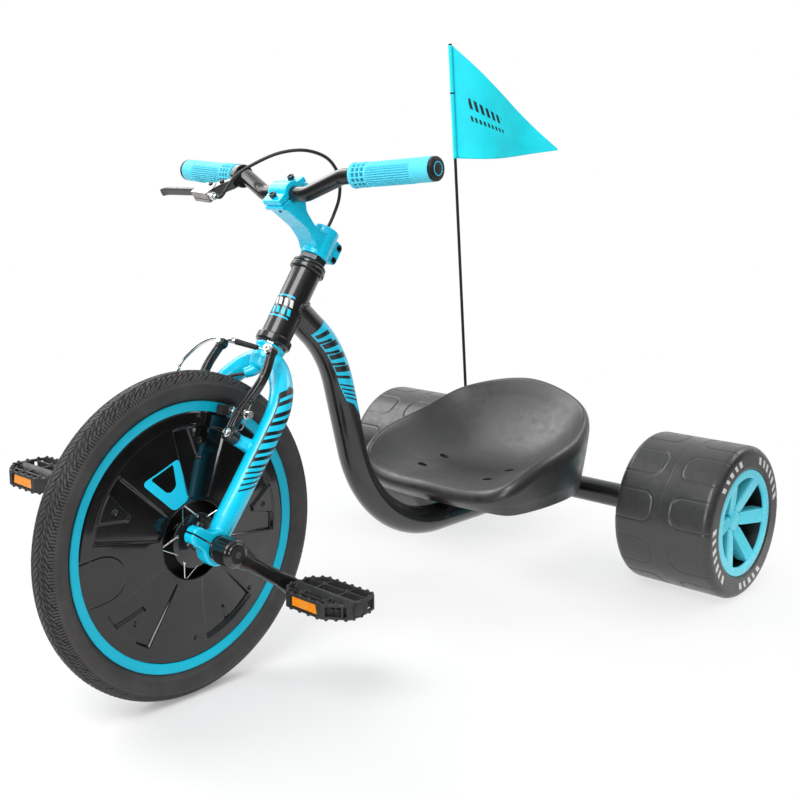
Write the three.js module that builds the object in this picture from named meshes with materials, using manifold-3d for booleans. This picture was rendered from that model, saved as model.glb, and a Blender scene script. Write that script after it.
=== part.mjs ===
// Drift trike: an 18 inch pedalled front wheel with a rim brake, a bucket seat low on a bent tube,
// and two hard wide rear wheels on a fixed axle.
// Millimetres, +Z up, the rider faces -Y, the rider's left is +X.
import * as THREE from 'three';
import { mergeVertices } from 'three/addons/utils/BufferGeometryUtils.js';
import Module from 'manifold-3d';

const wasm = await Module();
wasm.setup();

// Clearance between pieces that touch on the real trike.
const fit = 0.3;

// Overall layout, measured from the front contact patch.
const wheelbase = 847;
const headAngleFromVertical = 35.5;
const rearTrackToWheelCentre = 299.5;

// Front wheel.
const tyreRadius = 222.5;
const tyreWidth = 50;
const tyreWall = 4;
const rimFlangeRadius = 183.5;
const rimInnerRadius = 169.6;
const rimHalfWidth = 16.2;
const rimInnerHalfWidth = 14.2;
const rimBedRadius = 163;
const rimBedHalfWidth = 10.5;
const hubFlangeRadius = 34;
const hubFlangeOffset = 27;
const hubFlangeThickness = 4;
const hubBodyRadius = 17;
const hubCollarRadius = 13;
const spokeCount = 20;
const spokeCircleRadius = 29.5;
const spokeRadius = 1.1;
const coverOpeningRadius = 52;
const coverThickness = 2.5;
const coverInnerEdge = 26.5;
const coverOuterEdge = 12;
const coverPanelCount = 5;
const coverValleyFirst = 8.7;
const coverValleyHalfAngle = 17;
const coverValleyInner = 58;
const coverValleyOuter = 150;
const coverValleyDepth = 3.5;
const coverBossApex = 112;
const coverBossHalfWidth = 20;
const coverScrewRadius = 131;
const coverScrewHole = 3;
const axleRadius = 8.5;
const axleRoundHalf = 83;
const axleTaperEnd = 109;
const axleSquare = 12.7;

// Fork.
const steererRadius = 14.3;
const steererBore = 11;
const forkLegRadius = 16.25;
const forkLegLine = [[66, 20], [69, 90], [71, 160], [70, 198], [58, 228], [38, 252], [12, 270]];
const forkCrownRadius = 20;
const crownTop = 288;
const crownBottom = 250;
const steererTop = 480;
const dropoutInner = 60;
const dropoutWidth = 20;
const dropoutRadius = 24;
const axleBearingRadius = 17.5;
const dropoutEarReach = 50;
const dropoutEarHeight = 25;
const dropoutSlit = 2.5;
const dropoutBoltOffset = 41;
const dropoutBoltRadius = 3.2;

// Headset and head tube, as distances along the steering axis from the front axle.
const headTubeBottom = 303.6;
const headTubeTop = 409.2;
const headTubeRadius = 22;
const cupInsertRadius = 17.1;
const headsetRadius = 26;
const headsetBearingRadius = 20.5;
const cupHeight = 8.5;
const lowerCupHeight = 13.5;
const cupInsert = 10;
const cupInsertInner = 15.2;
const adjustingNutHeight = 8;
const locknutHeight = 8;
const locknutAcrossFlats = 36;

// Main tube, in the trike's middle plane: start, two bend vertices and height at the rear axle.
const mainTubeRadius = 22.5;
const mainTubeStart = [208, 508];
const mainTubeUpperBend = [287, 437];
const mainTubeLowerBend = [369, 129];
const mainTubeUpperBendRadius = 240;
const mainTubeLowerBendRadius = 225;

// Rear axle and wheels.
const rearRadius = 125.5;
const rearWidth = 168.6;
const rearShoulder = 13;
const rearSleeveWall = 37.3;
const rearHubRadius = rearRadius - rearSleeveWall;
const axleTubeRadius = 21;
const axleTubeWall = 2.5;
const axleTubeGap = 3;
const axleTubePlug = 22;
const rearAxleRadius = 7.5;
const rearHubSpokes = 6;
const rearHubFirstSpoke = -3;
const rearHubFlangeWidth = 14.5;
const rearHubFlangeDepth = 6;
const rearHubFlangeSet = 3;
const rearHubSpokeWidth = 22;
const rearHubSpokeDepth = 20;
const rearHubDish = 16;
const rearHubTubeRadius = 17.5;
const rearBearingRadius = 13;
const rearBearingWidth = 10;
const rearHubRecess = 22;
const hubCapDepth = 9;
const axleNutHeight = 8;
const axleNutAcrossFlats = 19;

// Seat.
const seatRim = [[0, 501, 193], [103, 507, 195], [152, 520, 213], [170, 571, 238], [167, 693, 265],
  [128, 764, 298], [0, 796, 324]];
const seatWall = 5;
const seatSkirtBottom = 160;
const seatPanRise = 32;
const seatPanHeight = seatSkirtBottom + seatPanRise;
const seatPanY = 610;
const seatSkirtTaper = 9;
const seatRimRoll = 6;
const seatBoltX = 70;
const seatBoltY = [576, 635];
const seatBoltRadius = 3.9;
const seatBoltHeadRadius = 6.5;
const seatBoltHeadHeight = 5;
const seatSlotLength = 15;
const seatSlotWidth = 14;
const seatSlotDepth = 6;
const seatBossRadius = 11;
const seatPlateThickness = 4;
const seatPlateHalfWidth = 86;
const seatPlateFront = 556;
const seatPlateRear = 655;
const seatSaddleLength = 26;
const seatSaddleHalfWidth = 16;
const seatArmX = 112;
const seatArmY = 722;
const seatArmWidth = 26;

// Stem and handlebar.
const barRadius = 11.1;
const barCentre = [201, 669.5];
const barRiseStart = 42;
const barRiseEnd = 97;
const barTopY = 214;
const barTopZ = 693;
const barHalf = 252;
const barSweepBack = 14;
const barSweepUp = 10;
const barBendRadius = 34;
const stemClampHeight = 46.5;
const stemClampWall = 6;
const stemWidth = 36;
const stemCapWall = 7;
const stemCapTilt = 56.2;
const stemCapBoltSpacing = 42;
const stemParting = 1.6;
const stemBoltRadius = 3;
const stemBoltHead = 5;
const pinchBoltBack = 27;
const pinchBoltLow = 13;
const pinchBoltSpacing = 20;
const gripRadius = 16.4;
const gripLength = 133.5;
const gripFlangeRadius = 17.6;
const gripCapLength = 8;

// Brake lever, in the lever's own plane: x along the bar, reach forward from the bar's centre.
const leverDroop = 31;
const leverClampX = 109.5;
const leverClampWidth = 12;
const leverClampWall = 4.5;
const leverPivotX = 142;
const leverPivotReach = 46;
const leverLugX = 120;
const leverTipX = 243;
const leverBladeThickness = 6;
const leverBladeWidth = 12;
const leverPivotRadius = 3;
const barrelReach = 55;
const barrelLength = 15;
const barrelRadius = 4.6;

// Rim brake, in the fork's own frame: x, forward of the fork's middle plane, and along the steering axis.
const brakePivotX = 50;
const brakePivotAlong = 139;
const brakeBossLength = 28;
const brakeBossRadius = 9;
const brakePivotPin = 4;
const brakeArmForward = 33.5;
const brakeArmDepth = 13;
const brakeArmLine = [[48, 132], [47.5, 160], [52, 182], [57, 208], [57.5, 234], [52, 266]];
const brakeArmHalfWidths = [9, 8.5, 7.5, 6.5, 5.5, 5.5];
const brakePadGap = 2.2;
const brakePadThickness = 10;
const brakePadHeight = 11;
const brakePadLength = 52;
const brakePadStudRadius = 3;
const brakePadStudReach = 66;
const noodleRadius = 2.8;
const cableRadius = 2.5;

// Cranks and pedals.
const crankLength = 120.5;
const crankAngle = -35.2;
const crankBossRadius = 19.3;
const crankOuterFace = 116;
const crankArmThickness = 13;
const pedalFlangeRadius = 7.5;
const pedalFlangeLength = 7;
const pedalShaftRadius = 4.5;
const pedalLength = 112;
const pedalDepth = 76;
const pedalHeight = 26;
const pedalBarrelRadius = 10;

// Safety flag.
const poleX = -190;
const poleRadius = 2.8;
const poleLean = 4.6;
const poleLength = 780;
const poleSocketHeight = 30;
const poleSocketRadius = 7;
const poleBandWidth = 18;
const poleBandWall = 3;
const poleBackOffset = 8;
const flagHoist = 205;
const flagFly = 198;
const flagHeading = 37;
const flagThickness = 1.6;
const flagBelowTop = 3;
const flagFold = 20;

const deg = Math.PI / 180;
const rake = headAngleFromVertical * deg;
const middleY = (wheelbase + rearRadius - tyreRadius) / 2;

// Materials.
const paint = (name, color, roughness, metalness) =>
  new THREE.MeshStandardMaterial({ name, color, roughness, metalness });
const looks = {
  glossBlack: () => paint('gloss_black', 0x141416, 0.25, 0.1),
  mattBlack: () => paint('matt_black', 0x2b2b2c, 0.6, 0),
  rubber: () => paint('rubber', 0x2a2a2b, 0.8, 0),
  cyanPaint: () => paint('cyan_paint', 0x12c3e6, 0.25, 0),
  cyanRubber: () => paint('cyan_rubber', 0x3fc8e6, 0.6, 0),
  steel: () => paint('steel', 0xc8c8c8, 0.25, 1),
  darkSteel: () => paint('dark_steel', 0x4a4a4c, 0.4, 0.8),
  cloth: () => paint('flag_cloth', 0x0fc0ee, 0.8, 0),
};

// Closed geometry helpers.
function cleaned(geometry) {
  const bare = geometry.index ? geometry.toNonIndexed() : geometry.clone();
  for (const key of Object.keys(bare.attributes)) {
    if (key !== 'position') bare.deleteAttribute(key);
  }
  const merged = mergeVertices(bare, 1e-3);
  const p = merged.attributes.position;
  const kept = [];
  const a = new THREE.Vector3();
  const b = new THREE.Vector3();
  const c = new THREE.Vector3();
  let volume = 0;
  for (let i = 0; i < merged.index.count; i += 3) {
    const [i0, i1, i2] = [merged.index.getX(i), merged.index.getX(i + 1), merged.index.getX(i + 2)];
    if (i0 === i1 || i1 === i2 || i2 === i0) continue;
    kept.push(i0, i1, i2);
    a.fromBufferAttribute(p, i0);
    b.fromBufferAttribute(p, i1);
    c.fromBufferAttribute(p, i2);
    volume += a.dot(b.cross(c));
  }
  if (volume < 0) {
    for (let i = 0; i < kept.length; i += 3) [kept[i], kept[i + 1]] = [kept[i + 1], kept[i]];
  }
  const out = new THREE.BufferGeometry();
  out.setAttribute('position', p.clone());
  out.setIndex(kept);
  return out;
}

function solid(geometry) {
  const clean = cleaned(geometry);
  return new wasm.Manifold(new wasm.Mesh({
    numProp: 3,
    vertProperties: new Float32Array(clean.attributes.position.array),
    triVerts: new Uint32Array(clean.index.array),
  }));
}

function surface(body) {
  const m = body.getMesh();
  const geometry = new THREE.BufferGeometry();
  const xyz = new Float32Array((m.vertProperties.length / m.numProp) * 3);
  for (let i = 0; i < xyz.length / 3; i++) {
    for (let k = 0; k < 3; k++) xyz[3 * i + k] = m.vertProperties[m.numProp * i + k];
  }
  geometry.setAttribute('position', new THREE.BufferAttribute(xyz, 3));
  geometry.setIndex([...m.triVerts]);
  return geometry;
}

const joined = (...parts) => parts.map(solid).reduce((sum, part) => sum.add(part));
const cut = (body, ...tools) => tools.map(solid).reduce((sum, tool) => sum.subtract(tool), body);

function place(parent, name, form, material) {
  const geometry = cleaned(form.isBufferGeometry ? form : surface(form));
  geometry.computeVertexNormals();
  const mesh = new THREE.Mesh(geometry, material());
  mesh.name = name;
  parent.add(mesh);
  return mesh;
}

// A closed ring or rod turned about the X axis from [x, radius] points.
function turnedX(points, segments) {
  const profile = points.map(([x, r]) => new THREE.Vector2(Math.max(r, 0), x));
  return new THREE.LatheGeometry(profile, segments).rotateZ(-Math.PI / 2);
}

// The same about the Z axis from [z, radius] points.
function turnedZ(points, segments) {
  const profile = points.map(([z, r]) => new THREE.Vector2(Math.max(r, 0), z));
  return new THREE.LatheGeometry(profile, segments).rotateX(Math.PI / 2);
}

const rodX = (x0, x1, radius, segments) => turnedX([[x0, 0], [x0, radius], [x1, radius], [x1, 0]], segments);
const rodZ = (z0, z1, radius, segments) => turnedZ([[z0, 0], [z0, radius], [z1, radius], [z1, 0]], segments);
const ringX = (x0, x1, inner, outer, segments) =>
  turnedX([[x0, inner], [x0, outer], [x1, outer], [x1, inner], [x0, inner]], segments);
const ringZ = (z0, z1, inner, outer, segments) =>
  turnedZ([[z0, inner], [z0, outer], [z1, outer], [z1, inner], [z0, inner]], segments);
const block = (x0, x1, y0, y1, z0, z1) =>
  new THREE.BoxGeometry(x1 - x0, y1 - y0, z1 - z0).translate((x0 + x1) / 2, (y0 + y1) / 2, (z0 + z1) / 2);
const hexAcross = (flats) => flats / 2 / Math.cos(Math.PI / 6);
// The corner radius of a faceted bore whose flats clear a shaft of this radius.
const bored = (radius, segments) => (radius + fit) / Math.cos(Math.PI / segments);

// A path of straight runs joined by arcs, sampled at its corner points only.
class BentPath extends THREE.Curve {
  constructor(points, radii, chord) {
    super();
    this.corners = [points[0].clone()];
    radii.forEach((radius, i) => this.bend(points[i], points[i + 1], points[i + 2], radius, chord));
    this.corners.push(points[points.length - 1].clone());
  }

  bend(before, vertex, after, radius, chord) {
    const u = before.clone().sub(vertex).normalize();
    const v = after.clone().sub(vertex).normalize();
    const half = u.angleTo(v) / 2;
    const centre = u.clone().add(v).normalize().multiplyScalar(radius / Math.sin(half)).add(vertex);
    const from = vertex.clone().addScaledVector(u, radius / Math.tan(half)).sub(centre);
    const axis = v.clone().cross(u).normalize();
    const sweep = Math.PI - 2 * half;
    const parts = Math.max(2, Math.round((sweep * radius) / chord));
    for (let k = 0; k <= parts; k++) {
      this.corners.push(from.clone().applyAxisAngle(axis, (sweep * k) / parts).add(centre));
    }
  }

  get steps() {
    return this.corners.length - 1;
  }

  getPoint(t, target = new THREE.Vector3()) {
    return target.copy(this.corners[Math.round(t * this.steps)]);
  }

  getPointAt(t, target) {
    return this.getPoint(t, target);
  }

  getTangentAt(t, target = new THREE.Vector3()) {
    const i = Math.round(t * this.steps);
    const at = this.corners[i];
    target.set(0, 0, 0);
    if (i > 0) target.add(at.clone().sub(this.corners[i - 1]).normalize());
    if (i < this.steps) target.add(this.corners[i + 1].clone().sub(at).normalize());
    return target.normalize();
  }
}

const V = (x, y, z) => new THREE.Vector3(x, y, z);

function tube(path, radius, sides, steps = path.steps) {
  const section = new THREE.Shape();
  for (let i = 0; i < sides; i++) {
    const a = (2 * Math.PI * (i + 0.5)) / sides;
    section[i ? 'lineTo' : 'moveTo'](radius * Math.cos(a), radius * Math.sin(a));
  }
  section.closePath();
  return new THREE.ExtrudeGeometry(section, { extrudePath: path, steps, bevelEnabled: false,
    curveSegments: 1 });
}

const outline = (points) => new THREE.Shape(points.map(([x, y]) => new THREE.Vector2(x, y)));

// A side profile given in [back, up] points, extruded across X and centred on it.
function sideExtrusion(points, width, bevel = 0) {
  const shape = outline(points);
  const settings = { depth: width - 2 * bevel, bevelEnabled: bevel > 0, bevelSize: bevel,
    bevelThickness: bevel,
    bevelSegments: 1, bevelOffset: -bevel, curveSegments: 8 };
  const geometry = new THREE.ExtrudeGeometry(shape, settings).translate(0, 0, -(width - 2 * bevel) / 2);
  return geometry.applyMatrix4(new THREE.Matrix4().makeBasis(V(0, 1, 0), V(0, 0, 1), V(1, 0, 0)));
}

const arcPoints = (cx, cy, r, from, to, count) => Array.from({ length: count + 1 }, (_, k) => {
  const a = (from + ((to - from) * k) / count) * deg;
  return [cx + r * Math.cos(a), cy + r * Math.sin(a)];
});

// The steering frame has its origin at the front axle and its Z along the steering axis; -Y is forward.
const trike = new THREE.Group();
trike.position.set(0, -middleY, 0);
const steering = new THREE.Group();
steering.position.set(0, 0, tyreRadius);
steering.rotation.x = -rake;
const frontWheel = new THREE.Group();
frontWheel.position.set(0, 0, tyreRadius);
trike.add(steering, frontWheel);
steering.updateMatrix();
const toTrike = steering.matrix.clone();
const toSteering = toTrike.clone().invert();

// Frame: head tube, bent main tube, axle tube and seat plate, welded into one.
function mainTubePath() {
  const points = [mainTubeStart, mainTubeUpperBend, mainTubeLowerBend, [wheelbase, rearRadius]];
  return new BentPath(points.map(([y, z]) => V(0, y, z)), [mainTubeUpperBendRadius, mainTubeLowerBendRadius],
    44);
}

function axleTubeHalf() {
  return rearTrackToWheelCentre - rearWidth / 2 - axleTubeGap;
}

function seatPlateTop() {
  return seatSkirtBottom - fit;
}

function seatPlate() {
  const arm = seatArmWidth / 2;
  const shape = outline([[-seatPlateHalfWidth, seatPlateFront], [seatPlateHalfWidth, seatPlateFront],
    [seatPlateHalfWidth, seatPlateRear], [seatArmX + arm, seatArmY - arm], [seatArmX + arm, seatArmY + arm],
    [seatArmX - arm, seatArmY + arm], [seatPlateHalfWidth - 2 * arm, seatPlateRear + arm],
    [2 * arm - seatPlateHalfWidth, seatPlateRear + arm], [arm - seatArmX, seatArmY + arm],
    [-seatArmX - arm, seatArmY + arm], [-seatArmX - arm, seatArmY - arm],
      [-seatPlateHalfWidth, seatPlateRear]]);
  const plate = new THREE.ExtrudeGeometry(shape, { depth: seatPlateThickness, bevelEnabled: false });
  return plate.translate(0, 0, seatPlateTop() - seatPlateThickness);
}

function seatBoltPlaces() {
  return seatBoltY.flatMap((y) => [[seatBoltX, y], [-seatBoltX, y]]);
}

function frameWeldment() {
  const head = rodZ(headTubeBottom, headTubeTop, headTubeRadius, 18).applyMatrix4(toTrike);
  const headBore = rodZ(headTubeBottom - 5, headTubeTop + 5, bored(cupInsertRadius, 14),
    14).applyMatrix4(toTrike);
  const half = axleTubeHalf();
  const axleTube = rodX(-half, half, axleTubeRadius, 18).translate(0, wheelbase, rearRadius);
  const inside = axleTubeRadius - axleTubeWall;
  const bore = bored(rearAxleRadius, 12);
  const axleBore = turnedX([[-half - 1, 0], [-half - 1, bore], [axleTubePlug - half, bore],
    [axleTubePlug - half, inside],
    [half - axleTubePlug, inside], [half - axleTubePlug, bore], [half + 1, bore], [half + 1, 0]], 12);
  axleBore.translate(0, wheelbase, rearRadius);
  const weldNuts = seatBoltPlaces().map(([x, y]) => {
    const top = seatPlateTop() - seatPlateThickness + 0.5;
    return rodZ(top - 7, top, hexAcross(13), 6).translate(x, y, 0);
  });
  const holes = seatBoltPlaces().map(([x, y]) => rodZ(100, 200, bored(seatBoltRadius, 6), 6).translate(x, y,
    0));
  const saddles = [seatPlateFront, seatPlateRear - seatSaddleLength].map((y) =>
    block(-seatSaddleHalfWidth, seatSaddleHalfWidth, y, y + seatSaddleLength, rearRadius,
      seatPlateTop() - 1));
  const whole = joined(head, tube(mainTubePath(), mainTubeRadius, 14), axleTube, seatPlate(), ...saddles,
    ...weldNuts);
  return cut(whole, headBore, axleBore, ...holes);
}

// Headset.
function upperCup() {
  const base = headTubeTop + fit;
  const top = base + cupHeight;
  const seatRadius = bored(headsetBearingRadius, 16);
  return turnedZ([[base - cupInsert, cupInsertInner], [base - cupInsert, cupInsertRadius],
    [base, cupInsertRadius],
    [base, headsetRadius], [top, headsetRadius], [top, seatRadius], [base + 1.5, seatRadius],
    [base + 1.5, cupInsertInner], [base - cupInsert, cupInsertInner]], 16);
}

function lowerCup() {
  const base = headTubeBottom - fit;
  const bottom = base - lowerCupHeight;
  const seatRadius = bored(headsetBearingRadius, 16);
  return turnedZ([[base + cupInsert, cupInsertInner], [base + cupInsert, cupInsertRadius],
    [base, cupInsertRadius],
    [base, headsetRadius], [bottom + 3, headsetRadius], [bottom, headsetRadius - 3], [bottom, seatRadius],
    [base - 1.5, seatRadius], [base - 1.5, cupInsertInner], [base + cupInsert, cupInsertInner]], 16);
}

function headset() {
  const cupTop = headTubeTop + fit + cupHeight;
  const nutTop = cupTop + fit + adjustingNutHeight;
  const inner = bored(steererRadius, 14);
  place(trike, 'upper_cup', upperCup().applyMatrix4(toTrike), looks.glossBlack);
  place(trike, 'lower_cup', lowerCup().applyMatrix4(toTrike), looks.glossBlack);
  const upper = ringZ(headTubeTop + 2.1, cupTop - 0.5, inner, headsetBearingRadius, 14);
  const lower = ringZ(crownTop + fit, headTubeBottom - 2.1, inner, headsetBearingRadius, 14);
  place(trike, 'upper_bearing', upper.applyMatrix4(toTrike), looks.steel);
  place(trike, 'lower_bearing', lower.applyMatrix4(toTrike), looks.steel);
  const nut = turnedZ([[cupTop + fit, inner], [cupTop + fit, headsetRadius - 1],
    [nutTop - 3, headsetRadius - 1], [nutTop, headsetRadius - 6], [nutTop, inner], [cupTop + fit, inner]],
      14);
  place(steering, 'adjusting_nut', nut, looks.glossBlack);
  const hex = rodZ(nutTop + fit, nutTop + fit + locknutHeight, hexAcross(locknutAcrossFlats), 6);
  place(steering, 'locknut', cut(solid(hex), rodZ(cupTop, nutTop + 2 * locknutHeight, inner, 14)),
    looks.darkSteel);
}

// Fork, in the steering frame.
function forkLeg(side) {
  const points = forkLegLine.map(([x, along]) => V(side * x, 0, along));
  const path = new THREE.CatmullRomCurve3(points, false, 'centripetal');
  return tube(path, forkLegRadius, 10, 8);
}

function dropout(side) {
  const x0 = dropoutInner;
  const x1 = dropoutInner + dropoutWidth;
  const ring = rodX(x0, x1, dropoutRadius, 16);
  const ear = block(x0, x1, -dropoutEarReach, 0, -dropoutEarHeight / 2, dropoutEarHeight / 2);
  const collar = rodZ(8, 34, forkLegRadius + 1.5, 10).translate(66, 0, 0);
  return joined(ring, ear, collar).scale([side, 1, 1]);
}

function dropoutCuts(side) {
  const x0 = dropoutInner;
  const x1 = dropoutInner + dropoutWidth;
  const seat = rodX(x0 - 12, x1 + 12, bored(axleBearingRadius, 14), 14);
  const slit = block(x0 - 12, x1 + 12, -dropoutEarReach - 5, -axleBearingRadius / 2, -dropoutSlit / 2,
    dropoutSlit / 2);
  const bolt = rodZ(-40, 40, dropoutBoltRadius, 8).translate((x0 + x1) / 2, -dropoutBoltOffset, 0);
  return [seat, slit, bolt].map((tool) => (side < 0 ? tool.applyMatrix4(new THREE.Matrix4().makeScale(-1, 1,
    1)) : tool));
}

function brakeBoss(side) {
  const toLeg = V(side * 68, 0, brakePivotAlong);
  const toPivot = V(side * brakePivotX, -brakeBossLength + 6, brakePivotAlong);
  const stay = tube(new THREE.LineCurve3(toLeg, toPivot), brakeBossRadius, 6, 1);
  const boss = rodZ(0, brakeBossLength - 4, brakeBossRadius, 10).rotateX(Math.PI / 2);
  const pin = rodZ(0, brakeArmForward + brakeArmDepth + 4, brakePivotPin, 6).rotateX(Math.PI / 2);
  return [stay, boss.translate(side * brakePivotX, -4, brakePivotAlong),
    pin.translate(side * brakePivotX, 0, brakePivotAlong)];
}

function fork() {
  const steerer = rodZ(crownTop - 20, steererTop, steererRadius, 14);
  const crown = turnedZ([[crownBottom, 0], [crownBottom, forkCrownRadius - 3],
    [crownBottom + 14, forkCrownRadius],
    [crownTop - 4, forkCrownRadius], [crownTop, forkCrownRadius + 2], [crownTop, 0]], 14);
  const body = joined(steerer, crown, forkLeg(1), forkLeg(-1), ...brakeBoss(1), ...brakeBoss(-1))
    .add(dropout(1)).add(dropout(-1));
  const bore = rodZ(crownBottom - 30, steererTop + 5, steererBore, 12);
  place(steering, 'fork', cut(body, bore, ...dropoutCuts(1), ...dropoutCuts(-1)), looks.cyanPaint);
}

function axleBearings() {
  for (const [name, side] of [['axle_bearing_left', 1], ['axle_bearing_right', -1]]) {
    const ring = ringX(dropoutInner + 3, dropoutInner + dropoutWidth - 3, bored(axleRadius, 14),
      axleBearingRadius, 14);
    place(steering, name, side > 0 ? ring : ring.rotateY(Math.PI), looks.steel);
  }
}

// Stem and handlebar.
const stemBottom = headTubeTop + cupHeight + adjustingNutHeight + locknutHeight + 4 * fit;
const barInSteering = V(0, barCentre[0], barCentre[1]).applyMatrix4(toSteering);
const capUp = V(0, -Math.cos(stemCapTilt * deg), Math.sin(stemCapTilt * deg)).transformDirection(toSteering);
const capAlong = V(0, Math.sin(stemCapTilt * deg),
  Math.cos(stemCapTilt * deg)).transformDirection(toSteering);

// A point of the bar clamp, as [back, up] in the steering frame: along the parting face, and out of it.
function clampPoint(along, out) {
  return [barInSteering.y + along * capAlong.y + out * capUp.y,
    barInSteering.z + along * capAlong.z + out * capUp.z];
}

function stem() {
  const outer = steererRadius + fit + stemClampWall;
  const top = stemBottom + stemClampHeight;
  const half = stemCapBoltSpacing / 2 + 9;
  const arm = sideExtrusion([[0, stemBottom + 1], [-14, stemBottom + 5], [-27, stemBottom + 14.5],
    [-50, stemBottom + 20.5],
    clampPoint(7 - half, -12), clampPoint(-half, -6), clampPoint(-half, -stemParting / 2),
      clampPoint(half, -stemParting / 2),
    clampPoint(half, -7), clampPoint(13, -20), [-62, top - 7], [-36, top - 15], [-22, top - 14],
      [0, top - 5]], stemWidth, 2.5);
  const clamp = rodZ(stemBottom, top, outer, 16);
  const ears = block(-12, 12, 0, pinchBoltBack + 6.5, stemBottom + 6,
    stemBottom + pinchBoltLow + pinchBoltSpacing + 7);
  const boltTools = [0, 1].map((k) =>
    rodX(-30, 30, stemBoltRadius + fit, 8).translate(0, pinchBoltBack,
      stemBottom + pinchBoltLow + k * pinchBoltSpacing));
  const headTools = [0, 1].map((k) =>
    rodX(8, 30, stemBoltHead + fit, 10).translate(0, pinchBoltBack,
      stemBottom + pinchBoltLow + k * pinchBoltSpacing));
  const slit = block(-1, 1, 5, 60, stemBottom - 5, top + 5);
  const bar = rodX(-stemWidth, stemWidth, barRadius + fit, 14).translate(0, barInSteering.y, barInSteering.z);
  const steererHole = rodZ(stemBottom - 5, top + 30, steererRadius + fit, 14);
  const capHoles = [-1, 1].map((side) => capBoltRod(side, -26, 5, stemBoltRadius + fit));
  place(steering, 'stem', cut(joined(arm, clamp, ears), steererHole, bar, slit, ...boltTools, ...headTools,
    ...capHoles),
    looks.cyanPaint);
  for (const [k, name] of ['stem_pinch_bolt_lower', 'stem_pinch_bolt_upper'].entries()) {
    const bolt = turnedX([[-11, 0], [-11, stemBoltRadius], [8.5, stemBoltRadius], [8.5, stemBoltHead],
      [12.5, stemBoltHead], [12.5, 0]], 8);
    place(steering, name, bolt.translate(0, pinchBoltBack, stemBottom + pinchBoltLow + k * pinchBoltSpacing),
      looks.darkSteel);
  }
}

// A rod along a cap bolt's axis between two distances out of the parting face.
function capBoltRod(side, from, to, radius, segments = 8) {
  const turn = new THREE.Matrix4().makeBasis(V(1, 0, 0), capAlong, capUp);
  const [y, z] = clampPoint((side * stemCapBoltSpacing) / 2, 0);
  return rodZ(from, to, radius, segments).applyMatrix4(turn).translate(0, y, z);
}

function stemCap() {
  const half = stemCapBoltSpacing / 2 + 8;
  const outer = barRadius + fit + stemCapWall;
  const arc = arcPoints(0, 0, outer, 38, 142, 7).map(([along, out]) => clampPoint(along, out));
  const profile = sideExtrusion([clampPoint(half, stemParting / 2), clampPoint(half, 9), ...arc,
    clampPoint(-half, 9), clampPoint(-half, stemParting / 2)], stemWidth, 2);
  const bar = rodX(-stemWidth, stemWidth, barRadius + fit, 14).translate(0, barInSteering.y, barInSteering.z);
  const holes = [-1, 1].map((side) => capBoltRod(side, -5, 40, stemBoltRadius + fit));
  place(steering, 'stem_cap', cut(solid(profile), bar, ...holes), looks.cyanPaint);
  for (const [name, side] of [['stem_cap_bolt_front', -1], ['stem_cap_bolt_rear', 1]]) {
    const bolt = joined(capBoltRod(side, -18, 13.5, stemBoltRadius),
      capBoltRod(side, 11 + fit, 16, stemBoltHead, 8));
    place(steering, name, cut(bolt, capBoltRod(side, 13.5, 18, 2.4, 6)), looks.darkSteel);
  }
}

function handlebarPath() {
  const side = (s) => [V(s * barHalf, barTopY + barSweepBack, barTopZ + barSweepUp),
    V(s * barRiseEnd, barTopY, barTopZ),
    V(s * barRiseStart, barCentre[0], barCentre[1])];
  const points = [...side(-1), ...side(1).reverse()];
  return new BentPath(points, [barBendRadius, barBendRadius, barBendRadius, barBendRadius], 9);
}

// The frame of one end of the bar: X along it and outwards, origin at its tip.
function barEndFrame(side) {
  const along = V(side * (barHalf - barRiseEnd), barSweepBack, barSweepUp).normalize();
  const across = V(0, 0, 1).cross(along).normalize();
  const turn = new THREE.Matrix4().makeBasis(along, across, along.clone().cross(across));
  turn.setPosition(V(side * barHalf, barTopY + barSweepBack, barTopZ + barSweepUp));
  return turn.premultiply(toSteering);
}

// Turned pieces on a bar end, from [distance from the bar's tip, radius] points.
function onBarEnd(points, side, segments) {
  return turnedX(points, segments).applyMatrix4(barEndFrame(side));
}

function handlebar() {
  const bar = solid(tube(handlebarPath(), barRadius, 14).applyMatrix4(toSteering));
  place(steering, 'handlebar', bar, looks.glossBlack);
  const inner = bored(barRadius, 14);
  for (const [name, side] of [['left', 1], ['right', -1]]) {
    const start = -gripLength;
    const capStart = fit - gripCapLength;
    place(steering, `grip_${name}`, onBarEnd([[start, inner], [start, gripFlangeRadius], [start + 3,
      gripFlangeRadius],
      [start + 5, gripRadius], [-gripCapLength, gripRadius], [-gripCapLength, inner], [start, inner]], side,
        14), looks.cyanRubber);
    place(steering, `grip_cap_${name}`, onBarEnd([[capStart, inner], [capStart, gripRadius], [1.5,
      gripRadius],
      [3, gripRadius - 1.5], [3, 0], [fit, 0], [fit, inner], [capStart, inner]], side, 14), looks.mattBlack);
  }
}

// Brake lever, in its own plane.
const leverPlane = new THREE.Group();
const leverOutward = V(-(barHalf - barRiseEnd), barSweepBack, barSweepUp).normalize();
const leverBase = V(-barRiseEnd, barTopY, barTopZ).addScaledVector(leverOutward, -barRiseEnd);
const leverUp = V(0, -Math.sin(leverDroop * deg), Math.cos(leverDroop * deg));
const leverBack = leverUp.clone().cross(leverOutward.clone().negate()).normalize();
leverPlane.applyMatrix4(new THREE.Matrix4()
  .makeBasis(leverOutward.clone().negate(), leverBack, leverOutward.clone().negate().cross(leverBack))
  .setPosition(leverBase)
  .premultiply(toSteering));
leverPlane.updateMatrix();
steering.add(leverPlane);

function flatExtrusion(points, low, high) {
  return new THREE.ExtrudeGeometry(outline(points), { depth: high - low, bevelEnabled: false }).translate(0,
    0, low);
}

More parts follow.
